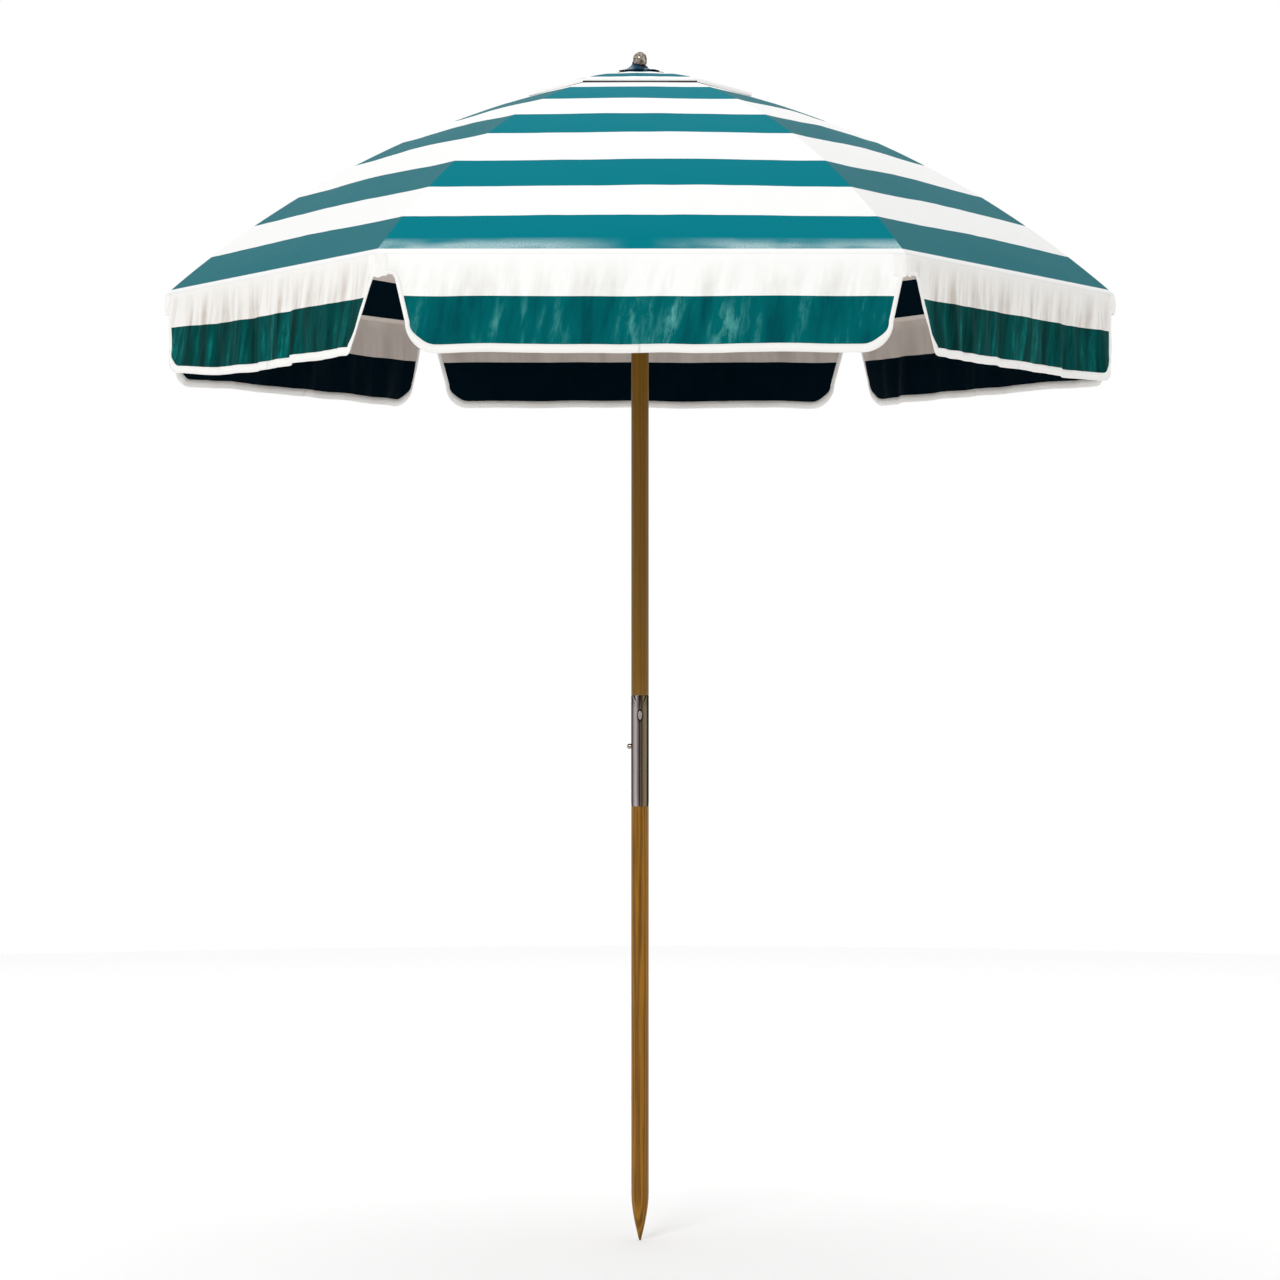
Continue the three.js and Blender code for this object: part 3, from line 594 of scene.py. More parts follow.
def sleeve_steel():
    """Rolled nickel-plated tube. Bands of painted reflection run its whole length, and its crimps, the groove
    round its rivet and its seam are painted dark: painted shade.
    """
    shader = Shader("nickel_sleeve")
    place = shader.object_place()
    parts = shader.add("ShaderNodeSeparateXYZ", {0: place})
    wander = shader.minus(shader.stretched_noise(place, (40.0, 40.0, 9.0), 2.0), 0.5)
    across = shader.plus(shader.times(parts.outputs[0], 0.5 / POLE_R), shader.times(wander, 0.05))
    # Painted reflection: light and dark bands across the sleeve, the same all along it.
    bands = shader.add("ShaderNodeValToRGB", {0: shader.plus(across, 0.5)})
    stops = bands.color_ramp.elements
    while len(stops) < len(SLEEVE_PAINTED_REFLECTIONS):
        stops.new(0.5)
    for stop, (position, tone) in zip(stops, SLEEVE_PAINTED_REFLECTIONS):
        stop.position = position
        stop.color = colour(*tone)
    groove = shader.add("ShaderNodeAttribute", attribute_name="groove").outputs["Fac"]
    lines = shader.stretched_noise(place, (900.0, 900.0, 14.0), 3.0)
    # Painted shade: the crimps, the groove round the rivet and the seam are painted dark.
    base = shader.mix(groove, bands.outputs[0], GROOVE_PAINTED_SHADE)
    shader.shaded(base, shader.plus(shader.times(lines, 0.3), 0.85))
    shader.surface(
        Metallic=1.0,
        Roughness=shader.plus(shader.times(lines, 0.1), 0.18),
        Specular_Tint=colour(110, 104, 100),
        Normal=shader.bump(lines, 0.05, LINE_DEPTH),
    )
    return shader.material


def moulded_nylon(name, base):
    shader = Shader(name)
    place = shader.object_place()
    grain = shader.noise(place, 900.0, 2.0)
    cloud = shader.noise(place, 30.0, 3.0)
    shader.shaded(base, shader.plus(shader.times(cloud, 0.06), 0.97))
    shader.surface(
        Roughness=shader.plus(shader.times(cloud, 0.1), 0.42),
        Subsurface_Weight=0.05,
        Normal=shader.bump(grain, 0.08, LINE_DEPTH),
    )
    return shader.material


def floor_paint():
    shader = Shader("floor_paint")
    cloud = shader.noise(shader.object_place(), 0.6, 2.0)
    shader.surface(
        Base_Color=shader.mix(shader.times(cloud, 0.02), (0.96, 0.96, 0.96, 1), (0.92, 0.92, 0.92, 1)),
        Roughness=0.9,
    )
    return shader.material


TEAL = colour(34, 106, 115)
# Painted lit copies of the teal and the white, for the front gore.
PAINTED_LIT_TEAL = colour(0, 120, 133)
WHITE = colour(234, 234, 233)
PAINTED_LIT_WHITE = colour(243, 243, 242)
# Tint of the painted highlight on the front gore's hem.
PAINTED_HEM_HIGHLIGHT = colour(196, 220, 222)
# The undersides are painted in shade: near-black teal and greyed white, as the cloth looks under the canopy.
UNDERSIDE_TEAL_PAINTED_SHADE = colour(0, 16, 25)
UNDERSIDE_WHITE_PAINTED_SHADE = colour(206, 196, 188)
# Colour of the painted shade in the sleeve's grooves.
GROOVE_PAINTED_SHADE = colour(34, 29, 27)
# The front gore and its valance are given paler, stronger tones than the others: painted sunlight, a lit copy of
# the same cloth, while the other gores get the shaded copy.
CLOTH = {
    "canopy": canopy_cloth("canopy_striped_cloth", TEAL, WHITE, 0.6, 0.05, 0.12),
    "canopy_front_painted_lit": canopy_cloth("canopy_striped_cloth_painted_lit", PAINTED_LIT_TEAL, PAINTED_LIT_WHITE, 0.6, 0.05, 0.08, 0.9),
    "canopy_underside_painted_shade": canopy_cloth("canopy_cloth_underside_painted_shade", UNDERSIDE_TEAL_PAINTED_SHADE, UNDERSIDE_WHITE_PAINTED_SHADE, 0.85, 0.08, 0.04),
    "valance": valance_cloth(
        "valance_striped_cloth", teal=colour(0, 74, 72), painted_shade_teal=colour(0, 44, 42),
        white=colour(240, 238, 234), painted_shade_white=colour(204, 196, 188), gather=1.15, painted_highlight_strength=0.75,
        painted_fold_highlight_tone=colour(20, 138, 132),
    ),
    "valance_front_painted_lit": valance_cloth(
        "valance_striped_cloth_painted_lit", teal=colour(0, 100, 103), painted_shade_teal=colour(0, 76, 82),
        white=colour(250, 250, 248), painted_shade_white=colour(230, 229, 224), gather=0.7, painted_highlight_strength=0.62,
        painted_fold_highlight_tone=colour(112, 196, 190),
    ),
    "valance_underside_painted_shade": valance_cloth(
        "valance_cloth_underside_painted_shade", teal=UNDERSIDE_TEAL_PAINTED_SHADE, painted_shade_teal=UNDERSIDE_TEAL_PAINTED_SHADE, white=UNDERSIDE_WHITE_PAINTED_SHADE,
        painted_shade_white=colour(190, 180, 172), gather=1.0, painted_highlight_strength=0.0, painted_fold_highlight_tone=UNDERSIDE_TEAL_PAINTED_SHADE,
    ),
    # The vent cap's white is the painted lit white.
    "vent": vent_cloth("vent_cap_cloth", colour(0, 108, 122), PAINTED_LIT_WHITE, 0.6),
    # The vent cap's grey underside is painted shade, which darkens the gap under its lip.
    "vent_underside_painted_shade": plain_cloth("vent_cap_underside_painted_shade", colour(120, 118, 118), 0.8),
    "cone": plain_cloth("apex_cone_cloth", colour(0, 58, 84), 0.35, 0.7),
    "binding": plain_cloth("binding_tape", colour(244, 243, 240), 0.62, 0.05),
}
HARD = {
    "sleeve_steel": sleeve_steel(),
    "pole_wood_light": ash_wood("ash_wood_light", colour(152, 104, 20), colour(96, 60, 4), 0.95),
    "pole_wood_dark": ash_wood("ash_wood_dark", colour(126, 90, 22), colour(100, 66, 8), 0.6),
    "steel": brushed_metal("brushed_steel", colour(168, 160, 156), 0.3, (30.0, 30.0, 900.0)),
    "chrome": brushed_metal(
        "polished_chrome", colour(190, 182, 172), 0.16, (200.0, 200.0, 200.0), streak=0.04,
        edge=colour(120, 112, 104), painted_reflection_tone=colour(96, 82, 66),
    ),
    "hub_nylon": moulded_nylon("white_moulded_nylon", colour(236, 235, 230)),
    "rod_steel": brushed_metal(
        "galvanised_rod", colour(190, 192, 192), 0.42, (500.0, 500.0, 500.0), streak=0.2,
    ),
}


# ---- cloth shapes
def arc_point(slope, rise):
    """The point on the corners' arc, or above it by rise, where the cloth has this slope."""
    radius = ARC_R + rise
    return CENTRE_R + radius * math.sin(slope), CENTRE_Z + radius * math.cos(slope)


def arc_slope(radius, rise):
    return math.asin((radius - CENTRE_R) / (ARC_R + rise))


def gore_profile(from_r, to_slope, rise, rows, bend_r):
    """Points (corner radius, height) down a gore, over the rim bend if there is one."""
    start = arc_slope(from_r, rise)
    points = [arc_point(start + (to_slope - start) * i / (rows - 1), rise) for i in range(rows)]
    if bend_r:
        end_r, end_z = points[-1]
        shift = bend_r * (1 - math.sin(to_slope)) / APOTHEM_SHARE
        points = [(r - shift * smooth_step(points[0][0], end_r, r), z) for r, z in points]
        for i in range(1, BEND_STEPS + 1):
            slope = to_slope + (math.pi / 2 - to_slope) * i / BEND_STEPS
            out = bend_r * (math.sin(slope) - math.sin(to_slope)) / APOTHEM_SHARE
            drop = bend_r * (math.cos(to_slope) - math.cos(slope))
            points.append((end_r - shift + out, end_z - drop))
    return points


def cloth_billow(place, down, edge, full):
    """How far the canopy's cloth stands off its ruled surface, the same on both sides of every seam."""
    wide = noise.noise(place * 3.1) * WIDE_BILLOW
    fine = ripple(place.x * 14 + 7.1, place.y * 14 + 2.3, place.z * 5 + 4.4, FINE_BILLOW)
    taut = smooth_step(0.1, 0.4, down) * (1 - smooth_step(0.93, 0.99, down))
    return full * (SWELL * edge * edge + wide * edge + fine * (0.35 + 0.65 * edge)) * taut


def half_cloth(name, rib, side, profile, columns, full=1.0):
    """One half of a gore or vent gore, beside a rib: side is 1 after the rib and -1 before it.

    It works out weights, 0 on the rib and 1 in the middle of the gore, which nothing uses.
    """
    turned = (rib - 1) * SECTOR + side * HALF_SECTOR
    lengths = [0.0]
    for (r0, z0), (r1, z1) in zip(profile, profile[1:]):
        lengths.append(lengths[-1] + math.hypot((r1 - r0) * APOTHEM_SHARE, z1 - z0))
    total = lengths[-1]
    points, uvs, weights = [], [], []
    for row, (radius, height) in enumerate(profile):
        half_width = radius * math.sin(HALF_SECTOR)
        before, after = profile[max(0, row - 1)], profile[min(len(profile) - 1, row + 1)]
        fall = Vector(((after[0] - before[0]) * APOTHEM_SHARE, 0, after[1] - before[1])).normalized()
        normal = turn_about_z(Vector((-fall.z, 0, fall.x)), turned)
        for column in range(columns):
            share = column / (columns - 1)
            across = half_width * (1 - share)
            place = turn_about_z(Vector((radius * APOTHEM_SHARE, -side * across, height)), turned)
            edge = math.sin(share * math.pi / 2)
            lift = cloth_billow(place, lengths[row] / total, edge, full) - SEAM_DIP * dip(across, SEAM_W)
            points.append(place + normal * lift)
            uvs.append((-side * across, total - lengths[row]))
            weights.append(share * (1 - FOLD_EASE + FOLD_EASE * share))
    faces = grid_faces(columns, len(profile))
    if side > 0:
        faces = [tuple(reversed(face)) for face in faces]
    piece = new_mesh(name, points, faces, uvs)
    thicken(piece, CLOTH_T, -1.0, 1)
    hold_between(piece)
    return piece, total


def hold_between(piece):
    """Bakes the piece's place into its mesh."""
    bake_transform(piece)


def slit_shape(gore, side):
    return PULLED_SLITS.get((gore, side), EVEN_SLIT)


def slit_edge(height, gore, side):
    """Half-width of the valance at a height below the top of the slit."""
    top_gap, low_gap, corner_r = slit_shape(gore, side)
    top, low = CORNER_U - top_gap, CORNER_U - low_gap
    round_z = VALANCE_LOW_Z + corner_r
    if height >= round_z:
        return low + (top - low) * (height - round_z) / (SLIT_Z - round_z)
    inside = corner_r ** 2 - (round_z - height) ** 2
    return low - corner_r + math.sqrt(max(0.0, inside))


def valance_drape(u, height, gore):
    """How far the valance stands off its flat plane: soft folds that grow towards the hem."""
    front = gore == FRONT_GORE
    down = (VALANCE_TOP_Z - height) / (VALANCE_TOP_Z - VALANCE_LOW_Z)
    shift = 11.7 * gore
    gathers = 0.6 if front else 1.5
    broad = ripple(u * 5.2 + shift, height * 1.3, shift, BROAD_FOLD)
    narrow = ripple(u * 19 + shift, height * 2.1 + 3.0, 5.5, NARROW_FOLD * gathers)
    fine = ripple(u * 52 + shift, height * 5.0, 9.1, FINE_FOLD * gathers)
    slanted = ripple(u * 15 + height * 9 + shift, height * 6, 2.2, SLANTED_FOLD)
    grow = smooth_step(0.0, 0.75, down)
    folds = (broad + slanted) * grow + narrow * (0.25 + 0.75 * grow) + fine * (0.3 + 0.7 * grow)
    pinch = 1 - 0.5 * dip(abs(u) - CORNER_U, 40 * MM)
    flare = FLARE * smooth_step(CORNER_U - 260 * MM, CORNER_U - 60 * MM, abs(u)) * down * down
    seams = VALANCE_SEAM_DIP * dip(u, SEAM_W)
    if front:
        flare *= 0.2
        seams += FRONT_TUCK_DIP * dip(u + FRONT_TUCK_U, FRONT_TUCK_W)
    return folds * pinch + flare - seams


def valance_place(u, height, side, rib, gore):
    """A point of a valance: u is its distance from the middle of its gore."""
    down = (VALANCE_TOP_Z - height) / (VALANCE_TOP_Z - VALANCE_LOW_Z)
    lift = valance_drape(-side * u, height, gore)
    fade = smooth_step(0.0, 14 * MM, VALANCE_TOP_Z - height)
    corner = 1 - smooth_step(CORNER_U - 20 * MM, CORNER_U, u) * smooth_step(SLIT_Z - 40 * MM, SLIT_Z, height)
    raised = ripple(-side * u * 9 + gore, 3.3, gore, HEM_WAVE) * down
    if (gore, side) == LIFTED_HEM:
        raised += HEM_LIFT * down * smooth_step(0.15, CORNER_U, u)
    out = VALANCE_APOTHEM - VALANCE_TUCK * (1 - fade) + lift * fade * corner
    return turn_about_z((out, -side * u, height + raised), (rib - 1) * SECTOR + side * HALF_SECTOR)


def half_valance(name, rib, side, gore):
    """One half of a valance panel: cut to the slit's edge up to the slit's top, and whole above it."""
    points, uvs, weights = [], [], []

    def put(u, height):
        points.append(valance_place(u, height, side, rib, gore))
        uvs.append((-side * u, height - VALANCE_TOP_Z))
        weights.append(max(0.0, 1 - u / CORNER_U))

    for row in range(VALANCE_LOW_ROWS):
        height = VALANCE_LOW_Z + (SLIT_Z - VALANCE_LOW_Z) * (row / (VALANCE_LOW_ROWS - 1)) ** 1.35
        edge = slit_edge(height, gore, side)
        for column in range(VALANCE_COLUMNS):
            put(edge * column / (VALANCE_COLUMNS - 1), height)
    faces = grid_faces(VALANCE_COLUMNS, VALANCE_LOW_ROWS)
    base = len(points)
    top_edge = CORNER_U - slit_shape(gore, side)[0]
    for row in range(VALANCE_HIGH_ROWS):
        height = SLIT_Z + (VALANCE_TOP_Z - SLIT_Z) * row / (VALANCE_HIGH_ROWS - 1)
        for column in range(VALANCE_COLUMNS):
            put(top_edge * column / (VALANCE_COLUMNS - 1), height)
        for column in range(1, CORNER_COLUMNS + 1):
            put(top_edge + (CORNER_U - top_edge) * column / CORNER_COLUMNS, height)
    faces += grid_faces(VALANCE_COLUMNS + CORNER_COLUMNS, VALANCE_HIGH_ROWS, base)
    if side > 0:
        faces = [tuple(reversed(face)) for face in faces]
    piece = new_mesh(name, points, faces, uvs)
    weights = merge_keeping(piece, weights)
    thicken(piece, CLOTH_T, -1.0, 1)
    hold_between(piece)
    return piece


def merge_keeping(piece, weights):
    """Welds the two parts of a grid, and gives back the weights of the points that are left."""
    layer = piece.data.attributes.new("share", "FLOAT", "POINT")
    layer.data.foreach_set("value", weights)
    with open_mesh(piece) as work:
        bmesh.ops.remove_doubles(work, verts=work.verts, dist=1e-5)
    return [point.value for point in piece.data.attributes["share"].data]


def binding_path(gore, side):
    """Points (u, height) along the tape: the hem, its corner, the slit's edge and the slit's top."""
    top_gap, low_gap, corner_r = slit_shape(gore, side)
    centre_u = CORNER_U - low_gap - corner_r
    round_z = VALANCE_LOW_Z + corner_r
    path = [(centre_u * i / HEM_STEPS, VALANCE_LOW_Z) for i in range(HEM_STEPS)]
    for i in range(ROUND_STEPS):
        angle = math.pi / 2 * (i / ROUND_STEPS - 1)
        path.append((centre_u + corner_r * math.cos(angle), round_z + corner_r * math.sin(angle)))
    for i in range(SLIT_STEPS):
        height = round_z + (SLIT_Z - round_z) * i / SLIT_STEPS
        path.append((slit_edge(height, gore, side), height))
    top = CORNER_U - top_gap
    turn = min(6 * MM, top_gap / 2)
    path.append((top, SLIT_Z - turn))
    path.append((top + 1.5 * MM, SLIT_Z - 1.5 * MM))
    for i in range(TOP_STEPS + 1):
        path.append((top + turn + (CORNER_U - top - turn) * i / TOP_STEPS, SLIT_Z))
    return path


def tape(name, rib, side, gore):
    """White tape folded over the valance's edge."""
    path = binding_path(gore, side)
    outward = turn_about_z(Vector((1, 0, 0)), (rib - 1) * SECTOR + side * HALF_SECTOR)
    points, uvs, weights = [], [], []
    length = 0.0
    for i, (u, height) in enumerate(path):
        u0, h0 = path[max(0, i - 1)]
        u1, h1 = path[min(len(path) - 1, i + 1)]
        along = Vector((u1 - u0, h1 - h0)).normalized()
        inward = Vector((-along.y, along.x))
        upright = smooth_step(VALANCE_LOW_Z + 10 * MM, VALANCE_LOW_Z + 50 * MM, height)
        width = BINDING_W + (SIDE_BINDING_W - BINDING_W) * upright
        length += math.hypot(u - u0, height - h0)
        gathered = 1 + ripple(length * 55, gore * 3.3, side * 2.0, 0.35)
        for reach, out in TAPE_SECTION:
            step = inward * (reach * width - BINDING_OVERLAP)
            place_u = min(u + step.x, CORNER_U)
            base = valance_place(place_u, height + step.y, side, rib, gore)
            points.append(base + outward * (out * BINDING_T * gathered - CLOTH_T / 2))
            uvs.append((length, reach * width))
            weights.append(max(0.0, 1 - place_u / CORNER_U))
    ring = range(len(TAPE_SECTION))
    faces = grid_faces(len(ring), len(path), wrap=True)
    faces.append(tuple(ring))
    faces.append(tuple((len(path) - 1) * len(ring) + i for i in reversed(ring)))
    piece = new_mesh(name, points, faces, uvs)
    recalculate(piece)
    hold_between(piece)
    return piece


# ---- canopy, valance and vent cap
def vent_profiles():
    """The vent's profile for each gore: it sinks towards the cone, and its lip turns down at its edge."""
    profile = [
        (r, z - VENT_SINK * (1 - smooth_step(VENT_HOLE_R, VENT_R, r)))
        for r, z in gore_profile(VENT_HOLE_R, arc_slope(VENT_R, VENT_RISE), VENT_RISE, VENT_ROWS, 0)
    ]
    edge_r, edge_z = profile[-1]
    profiles = {}
    for gore in range(1, RIB_COUNT + 1):
        drop = FRONT_LIP_DROP if gore == FRONT_GORE else LIP_DROP
        profiles[gore] = profile + [(edge_r + LIP_OUT, edge_z - share * drop) for share in (0.45, 1.0)]
    return profiles


def canopy_half(gore, half, rib, side, profile):
    node = f"gore_{gore}_{half}"
    piece, length = half_cloth(f"canopy_{gore}_{half}", rib, side, profile, COLUMNS)
    # Painted light: the front gore gets the lit copy of the cloth and the other gores the shaded copy; the inner
    # face gets the painted shade underside.
    paint(piece, CLOTH["canopy_front_painted_lit" if gore == FRONT_GORE else "canopy"], CLOTH["canopy_underside_painted_shade"])
    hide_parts(node)


def vent_half(gore, half, rib, side, profile):
    name = f"vent_{gore}_{half}"
    piece, length = half_cloth(name, rib, side, profile, VENT_COLUMNS, VENT_BILLOW)
    # The vent cap's inner face is painted shade.
    paint(piece, CLOTH["vent"], CLOTH["vent_underside_painted_shade"])
    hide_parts("vent_cap")


def valance_half(gore, half, rib, side):
    node = f"valance_{gore}_{half}"
    piece = half_valance(f"hanging_{gore}_{half}", rib, side, gore)
    # Painted light: the front valance gets the lit copy of the cloth and the others the shaded copy; the inner
    # face gets the painted shade underside.
    paint(piece, CLOTH["valance_front_painted_lit" if gore == FRONT_GORE else "valance"], CLOTH["valance_underside_painted_shade"])
    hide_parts(node)
    hem = tape(f"binding_{gore}_{half}", rib, side, gore)
    paint(hem, CLOTH["binding"])


def build_cloth():
    canopy_profile = gore_profile(CANOPY_HOLE_R, OUTER_SLOPE, 0.0, ROWS, BEND_R)
    vents = vent_profiles()
    for rib in range(1, RIB_COUNT + 1):
        before = (rib - 2) % RIB_COUNT + 1
        for side, gore, half in ((1, rib, "left"), (-1, before, "right")):
            canopy_half(gore, half, rib, side, canopy_profile)
            vent_half(gore, half, rib, side, vents[gore])
            valance_half(gore, half, rib, side)


def corner_pocket(rib):
    """The stitched pocket that the rib's end sits in, scrunched under the corner of the canopy."""
    columns, rows = 22, 16
    top, low = VALANCE_TOP_Z - 1.5 * MM, SLIT_Z - 4 * MM
    points, uvs = [], []
    for row in range(rows):
        share = row / (rows - 1)
        for column in range(columns):
            across = -POCKET_HALF_W + 2 * POCKET_HALF_W * column / (columns - 1)
            swell = math.cos(across / POCKET_HALF_W * math.pi / 2) ** 0.6
            swell *= math.sin(math.pi * (share * 0.9 + 0.05)) ** 0.7
            crumple = ripple(across * 160 + rib * 3.1, share * 2.6, rib, POCKET_CRUMPLE)
            ragged = ripple(across * 90, rib * 7.7, 1.0, POCKET_RAG) * (1 - share)
            radius = VALANCE_APOTHEM / APOTHEM_SHARE - abs(across) * math.tan(HALF_SECTOR)
            radius += (POCKET_SWELL + crumple) * swell + POCKET_OUT
            height = low + (top - low) * share + ragged
            points.append(turn_about_z(Vector((radius, across, height)), (rib - 1) * SECTOR))
            uvs.append((across, height))
    piece = new_mesh(f"corner_pocket_{rib}", points, grid_faces(columns, rows), uvs)
    recalculate(piece)
    thicken(piece, POCKET_CLOTH_T, 0.0)
    paint(piece, CLOTH["binding"])
    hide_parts(f"valance_corner_{rib}")
    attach(piece, f"corner_{rib}")


def throat(rib):
    """The cloth round the crown, above one rib. It joins the fixed cone's skirt to the folding vent."""
    columns, rows = 17, 7
    crown_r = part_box("crown")[1][0]
    top = Vector((crown_r + THROAT_DROP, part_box("apex_cone")[0][2] + THROAT_LAP))
    foot_r, foot_z = arc_point(arc_slope(VENT_HOLE_R + THROAT_TUCK, VENT_RISE), VENT_RISE)
    foot = Vector((foot_r, foot_z - VENT_SINK - THROAT_DROP))
    points, uvs, weights = [], [], []
    for row in range(rows):
        share = row / (rows - 1)
        radius, height = top.lerp(foot, share)
        for column in range(columns):
            angle = (rib - 1) * SECTOR + HALF_SECTOR * (2 * column / (columns - 1) - 1)
            points.append(ring_point(radius, angle, height))
            uvs.append((angle * 0.04, share * 0.012))
            weights.append(smooth_step(0.0, 1.0, share))
    piece = new_mesh(f"throat_{rib}", points, grid_faces(columns, rows), uvs)
    recalculate(piece)
    thicken(piece, THROAT_CLOTH_T, 0.0)
    hold_between(piece)
    paint(piece, CLOTH["cone"])
    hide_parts("apex_cone")


def apex_cone():
    """The dark cone of cloth gathered under the finial. It stands higher on its left and at the back."""
    low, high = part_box("apex_cone")
    columns, rows = 96, 18
    points, uvs = [], []
    for row in range(rows):
        share = row / (rows - 1)
        for angle in turns(columns):
            collar = 0.5 + 0.5 * math.cos(angle - CONE_HIGH_SIDE)
            pleat = 1 + (0.08 * math.sin(7 * angle + 0.6) + 0.05 * math.sin(11 * angle)) * share ** 0.7
            radius = (CONE_NECK_R + (high[0] - CONE_NECK_R) * share ** 1.5) * pleat
            top_z = high[2] + CONE_COLLAR_H * collar - CONE_FRONT_DROP + CONE_RAG * math.sin(5 * angle)
            height = top_z - (top_z - low[2]) * share ** 0.62
            points.append(ring_point(radius, angle, height))
            uvs.append((angle * 0.03, share * 0.04))
    piece = new_mesh("apex_cone_cloth", points, grid_faces(columns, rows, wrap=True), uvs)
    recalculate(piece)
    thicken(piece, CONE_CLOTH_T, 0.0)
    paint(piece, CLOTH["cone"])
    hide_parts("apex_cone")
    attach(piece, "upper_pole")


# ---- pole, sleeve and metalwork
def finish_hard(piece, slot, body, *nodes):
    paint(piece, HARD[slot])
    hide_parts(*nodes)
    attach(piece, body)


def lower_pole():
    shoulder = SLEEVE_LOW[2] - GAP
    core_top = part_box("lower_pole")[1][2]
    profile = [(0, 0), (SPIKE_TIP_R * 0.8, 0)]
    for i in range(SPIKE_STEPS + 1):
        share = i / SPIKE_STEPS
        radius = SPIKE_TIP_R + (POLE_R - SPIKE_TIP_R) * math.sin(share * math.pi / 2)
        profile.append((radius, SPIKE_ROUND + (SPIKE_H - SPIKE_ROUND) * share))
    for i in range(1, POLE_STEPS + 1):
        profile.append((POLE_R, SPIKE_H + (shoulder - POLE_CHAMFER - SPIKE_H) * i / POLE_STEPS))
    profile += [
        (POLE_R - 0.6 * MM, shoulder),
        (SPIGOT_CORE_R, shoulder),
        (SPIGOT_CORE_R, core_top),
        (0, core_top),
    ]
    finish_hard(lathe("lower_pole_wood", profile), "pole_wood_light", "lower_pole", "lower_pole")


def upper_pole():
    low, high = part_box("upper_pole")
    shoulder = SLEEVE_HIGH[2] + GAP
    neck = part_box("crown")[0][2] - GAP
    profile = [
        (0, low[2]),
        (SPIGOT_R - 1.5 * MM, low[2]),
        (SPIGOT_R, low[2] + 1.5 * MM),
        (SPIGOT_R, shoulder),
        (POLE_R - 0.5 * MM, shoulder),
    ]
    for i in range(POLE_STEPS + 1):
        profile.append((POLE_R, shoulder + POLE_CHAMFER + (neck - shoulder - POLE_CHAMFER) * i / POLE_STEPS))
    profile += [
        (NECK_R, neck),
        (NECK_R, high[2]),
        (STUD_HOLE_R, high[2]),
        (STUD_HOLE_R, STUD_HOLE_Z),
        (0, STUD_HOLE_Z),
    ]
    finish_hard(lathe("upper_pole_wood", profile), "pole_wood_dark", "upper_pole", "upper_pole")


def from_front(angle):
    """An angle about the pole, from -pi to pi, as seen from the front."""
    return (angle - 1.5 * math.pi + math.pi) % (2 * math.pi) - math.pi


def fan_crease(angle, height):
    """How deep the crimps at the sleeve's top are at a place: a fan that opens upwards over the rivet."""
    rise = smooth_step(CRIMP_LOW_Z, SLEEVE_HIGH[2] - 1 * MM, height)
    phase = from_front(angle) / (0.22 + 0.78 * rise)
    return max(0.0, math.cos(phase * CRIMP_COUNT)) ** 1.2 * rise ** 0.4 if rise > 0 else 0.0


def rivet_dimple(angle, height):
    """1 in the groove that is pressed round the rivet, and 0 away from it."""
    reach = math.hypot(from_front(angle) * POLE_R / RIVET_HALF_W, (height - RIVET_Z) / RIVET_HALF_H)
    return dip(reach - 1.3, 0.24)


def sleeve_seam(angle, height):
    """1 in the sleeve's seam, which ends under the rivet."""
    ends = 1 - smooth_step(RIVET_Z - 1.4 * RIVET_HALF_H, RIVET_Z - 1.2 * RIVET_HALF_H, height)
    return ends * dip((from_front(angle) + 0.02) * POLE_R, SLEEVE_SEAM_W)


def sleeve():
    """A rolled steel tube: crimps grip the wood at its top, and its seam runs down from the rivet."""
    sides, rows = 180, 150
    low, high = SLEEVE_LOW[2], SLEEVE_HIGH[2]
    outer, inner = [], []
    for row in range(rows):
        height = low + (high - low) * (row / (rows - 1)) ** 0.6
        lip = LIP_IN * (1 - smooth_step(0.0, LIP_H, min(high - height, height - low)))
        for angle in turns(sides):
            radius = POLE_R - CRIMP_DEPTH * fan_crease(angle, height) - lip
            radius -= SEAM_DEPTH * sleeve_seam(angle, height) + DIMPLE_DEPTH * rivet_dimple(angle, height)
            outer.append(ring_point(radius, angle, height))
            inner.append(ring_point(min(radius - SLEEVE_WALL, SLEEVE_BORE_R), angle, height))
    base = len(outer)
    faces = grid_faces(sides, rows, wrap=True)
    faces += [tuple(reversed(face)) for face in grid_faces(sides, rows, base, wrap=True)]
    top = (rows - 1) * sides
    for side in range(sides):
        after = (side + 1) % sides
        faces.append((after, side, base + side, base + after))
        faces.append((top + side, top + after, base + top + after, base + top + side))
    piece = new_mesh("joint_sleeve_tube", outer + inner, faces)
    recalculate(piece)
    drill(piece, Vector((-POLE_R, 0, BUTTON_Z)), BUTTON_HOLE_R)
    sharpen(piece, HARD_EDGE)
    # How much painted shade each point gets, from the depth of the crimps, the rivet's groove and the seam.
    groove = piece.data.attributes.new("groove", "FLOAT", "POINT")
    for vertex, value in zip(piece.data.vertices, groove.data):
        angle = math.atan2(vertex.co.y, vertex.co.x)
        height = vertex.co.z
        deep = 1.2 * fan_crease(angle, height) + rivet_dimple(angle, height) + sleeve_seam(angle, height)
        value.value = min(1.0, deep)
    finish_hard(piece, "steel", "upper_pole", "joint_sleeve")
    paint(piece, HARD["sleeve_steel"])


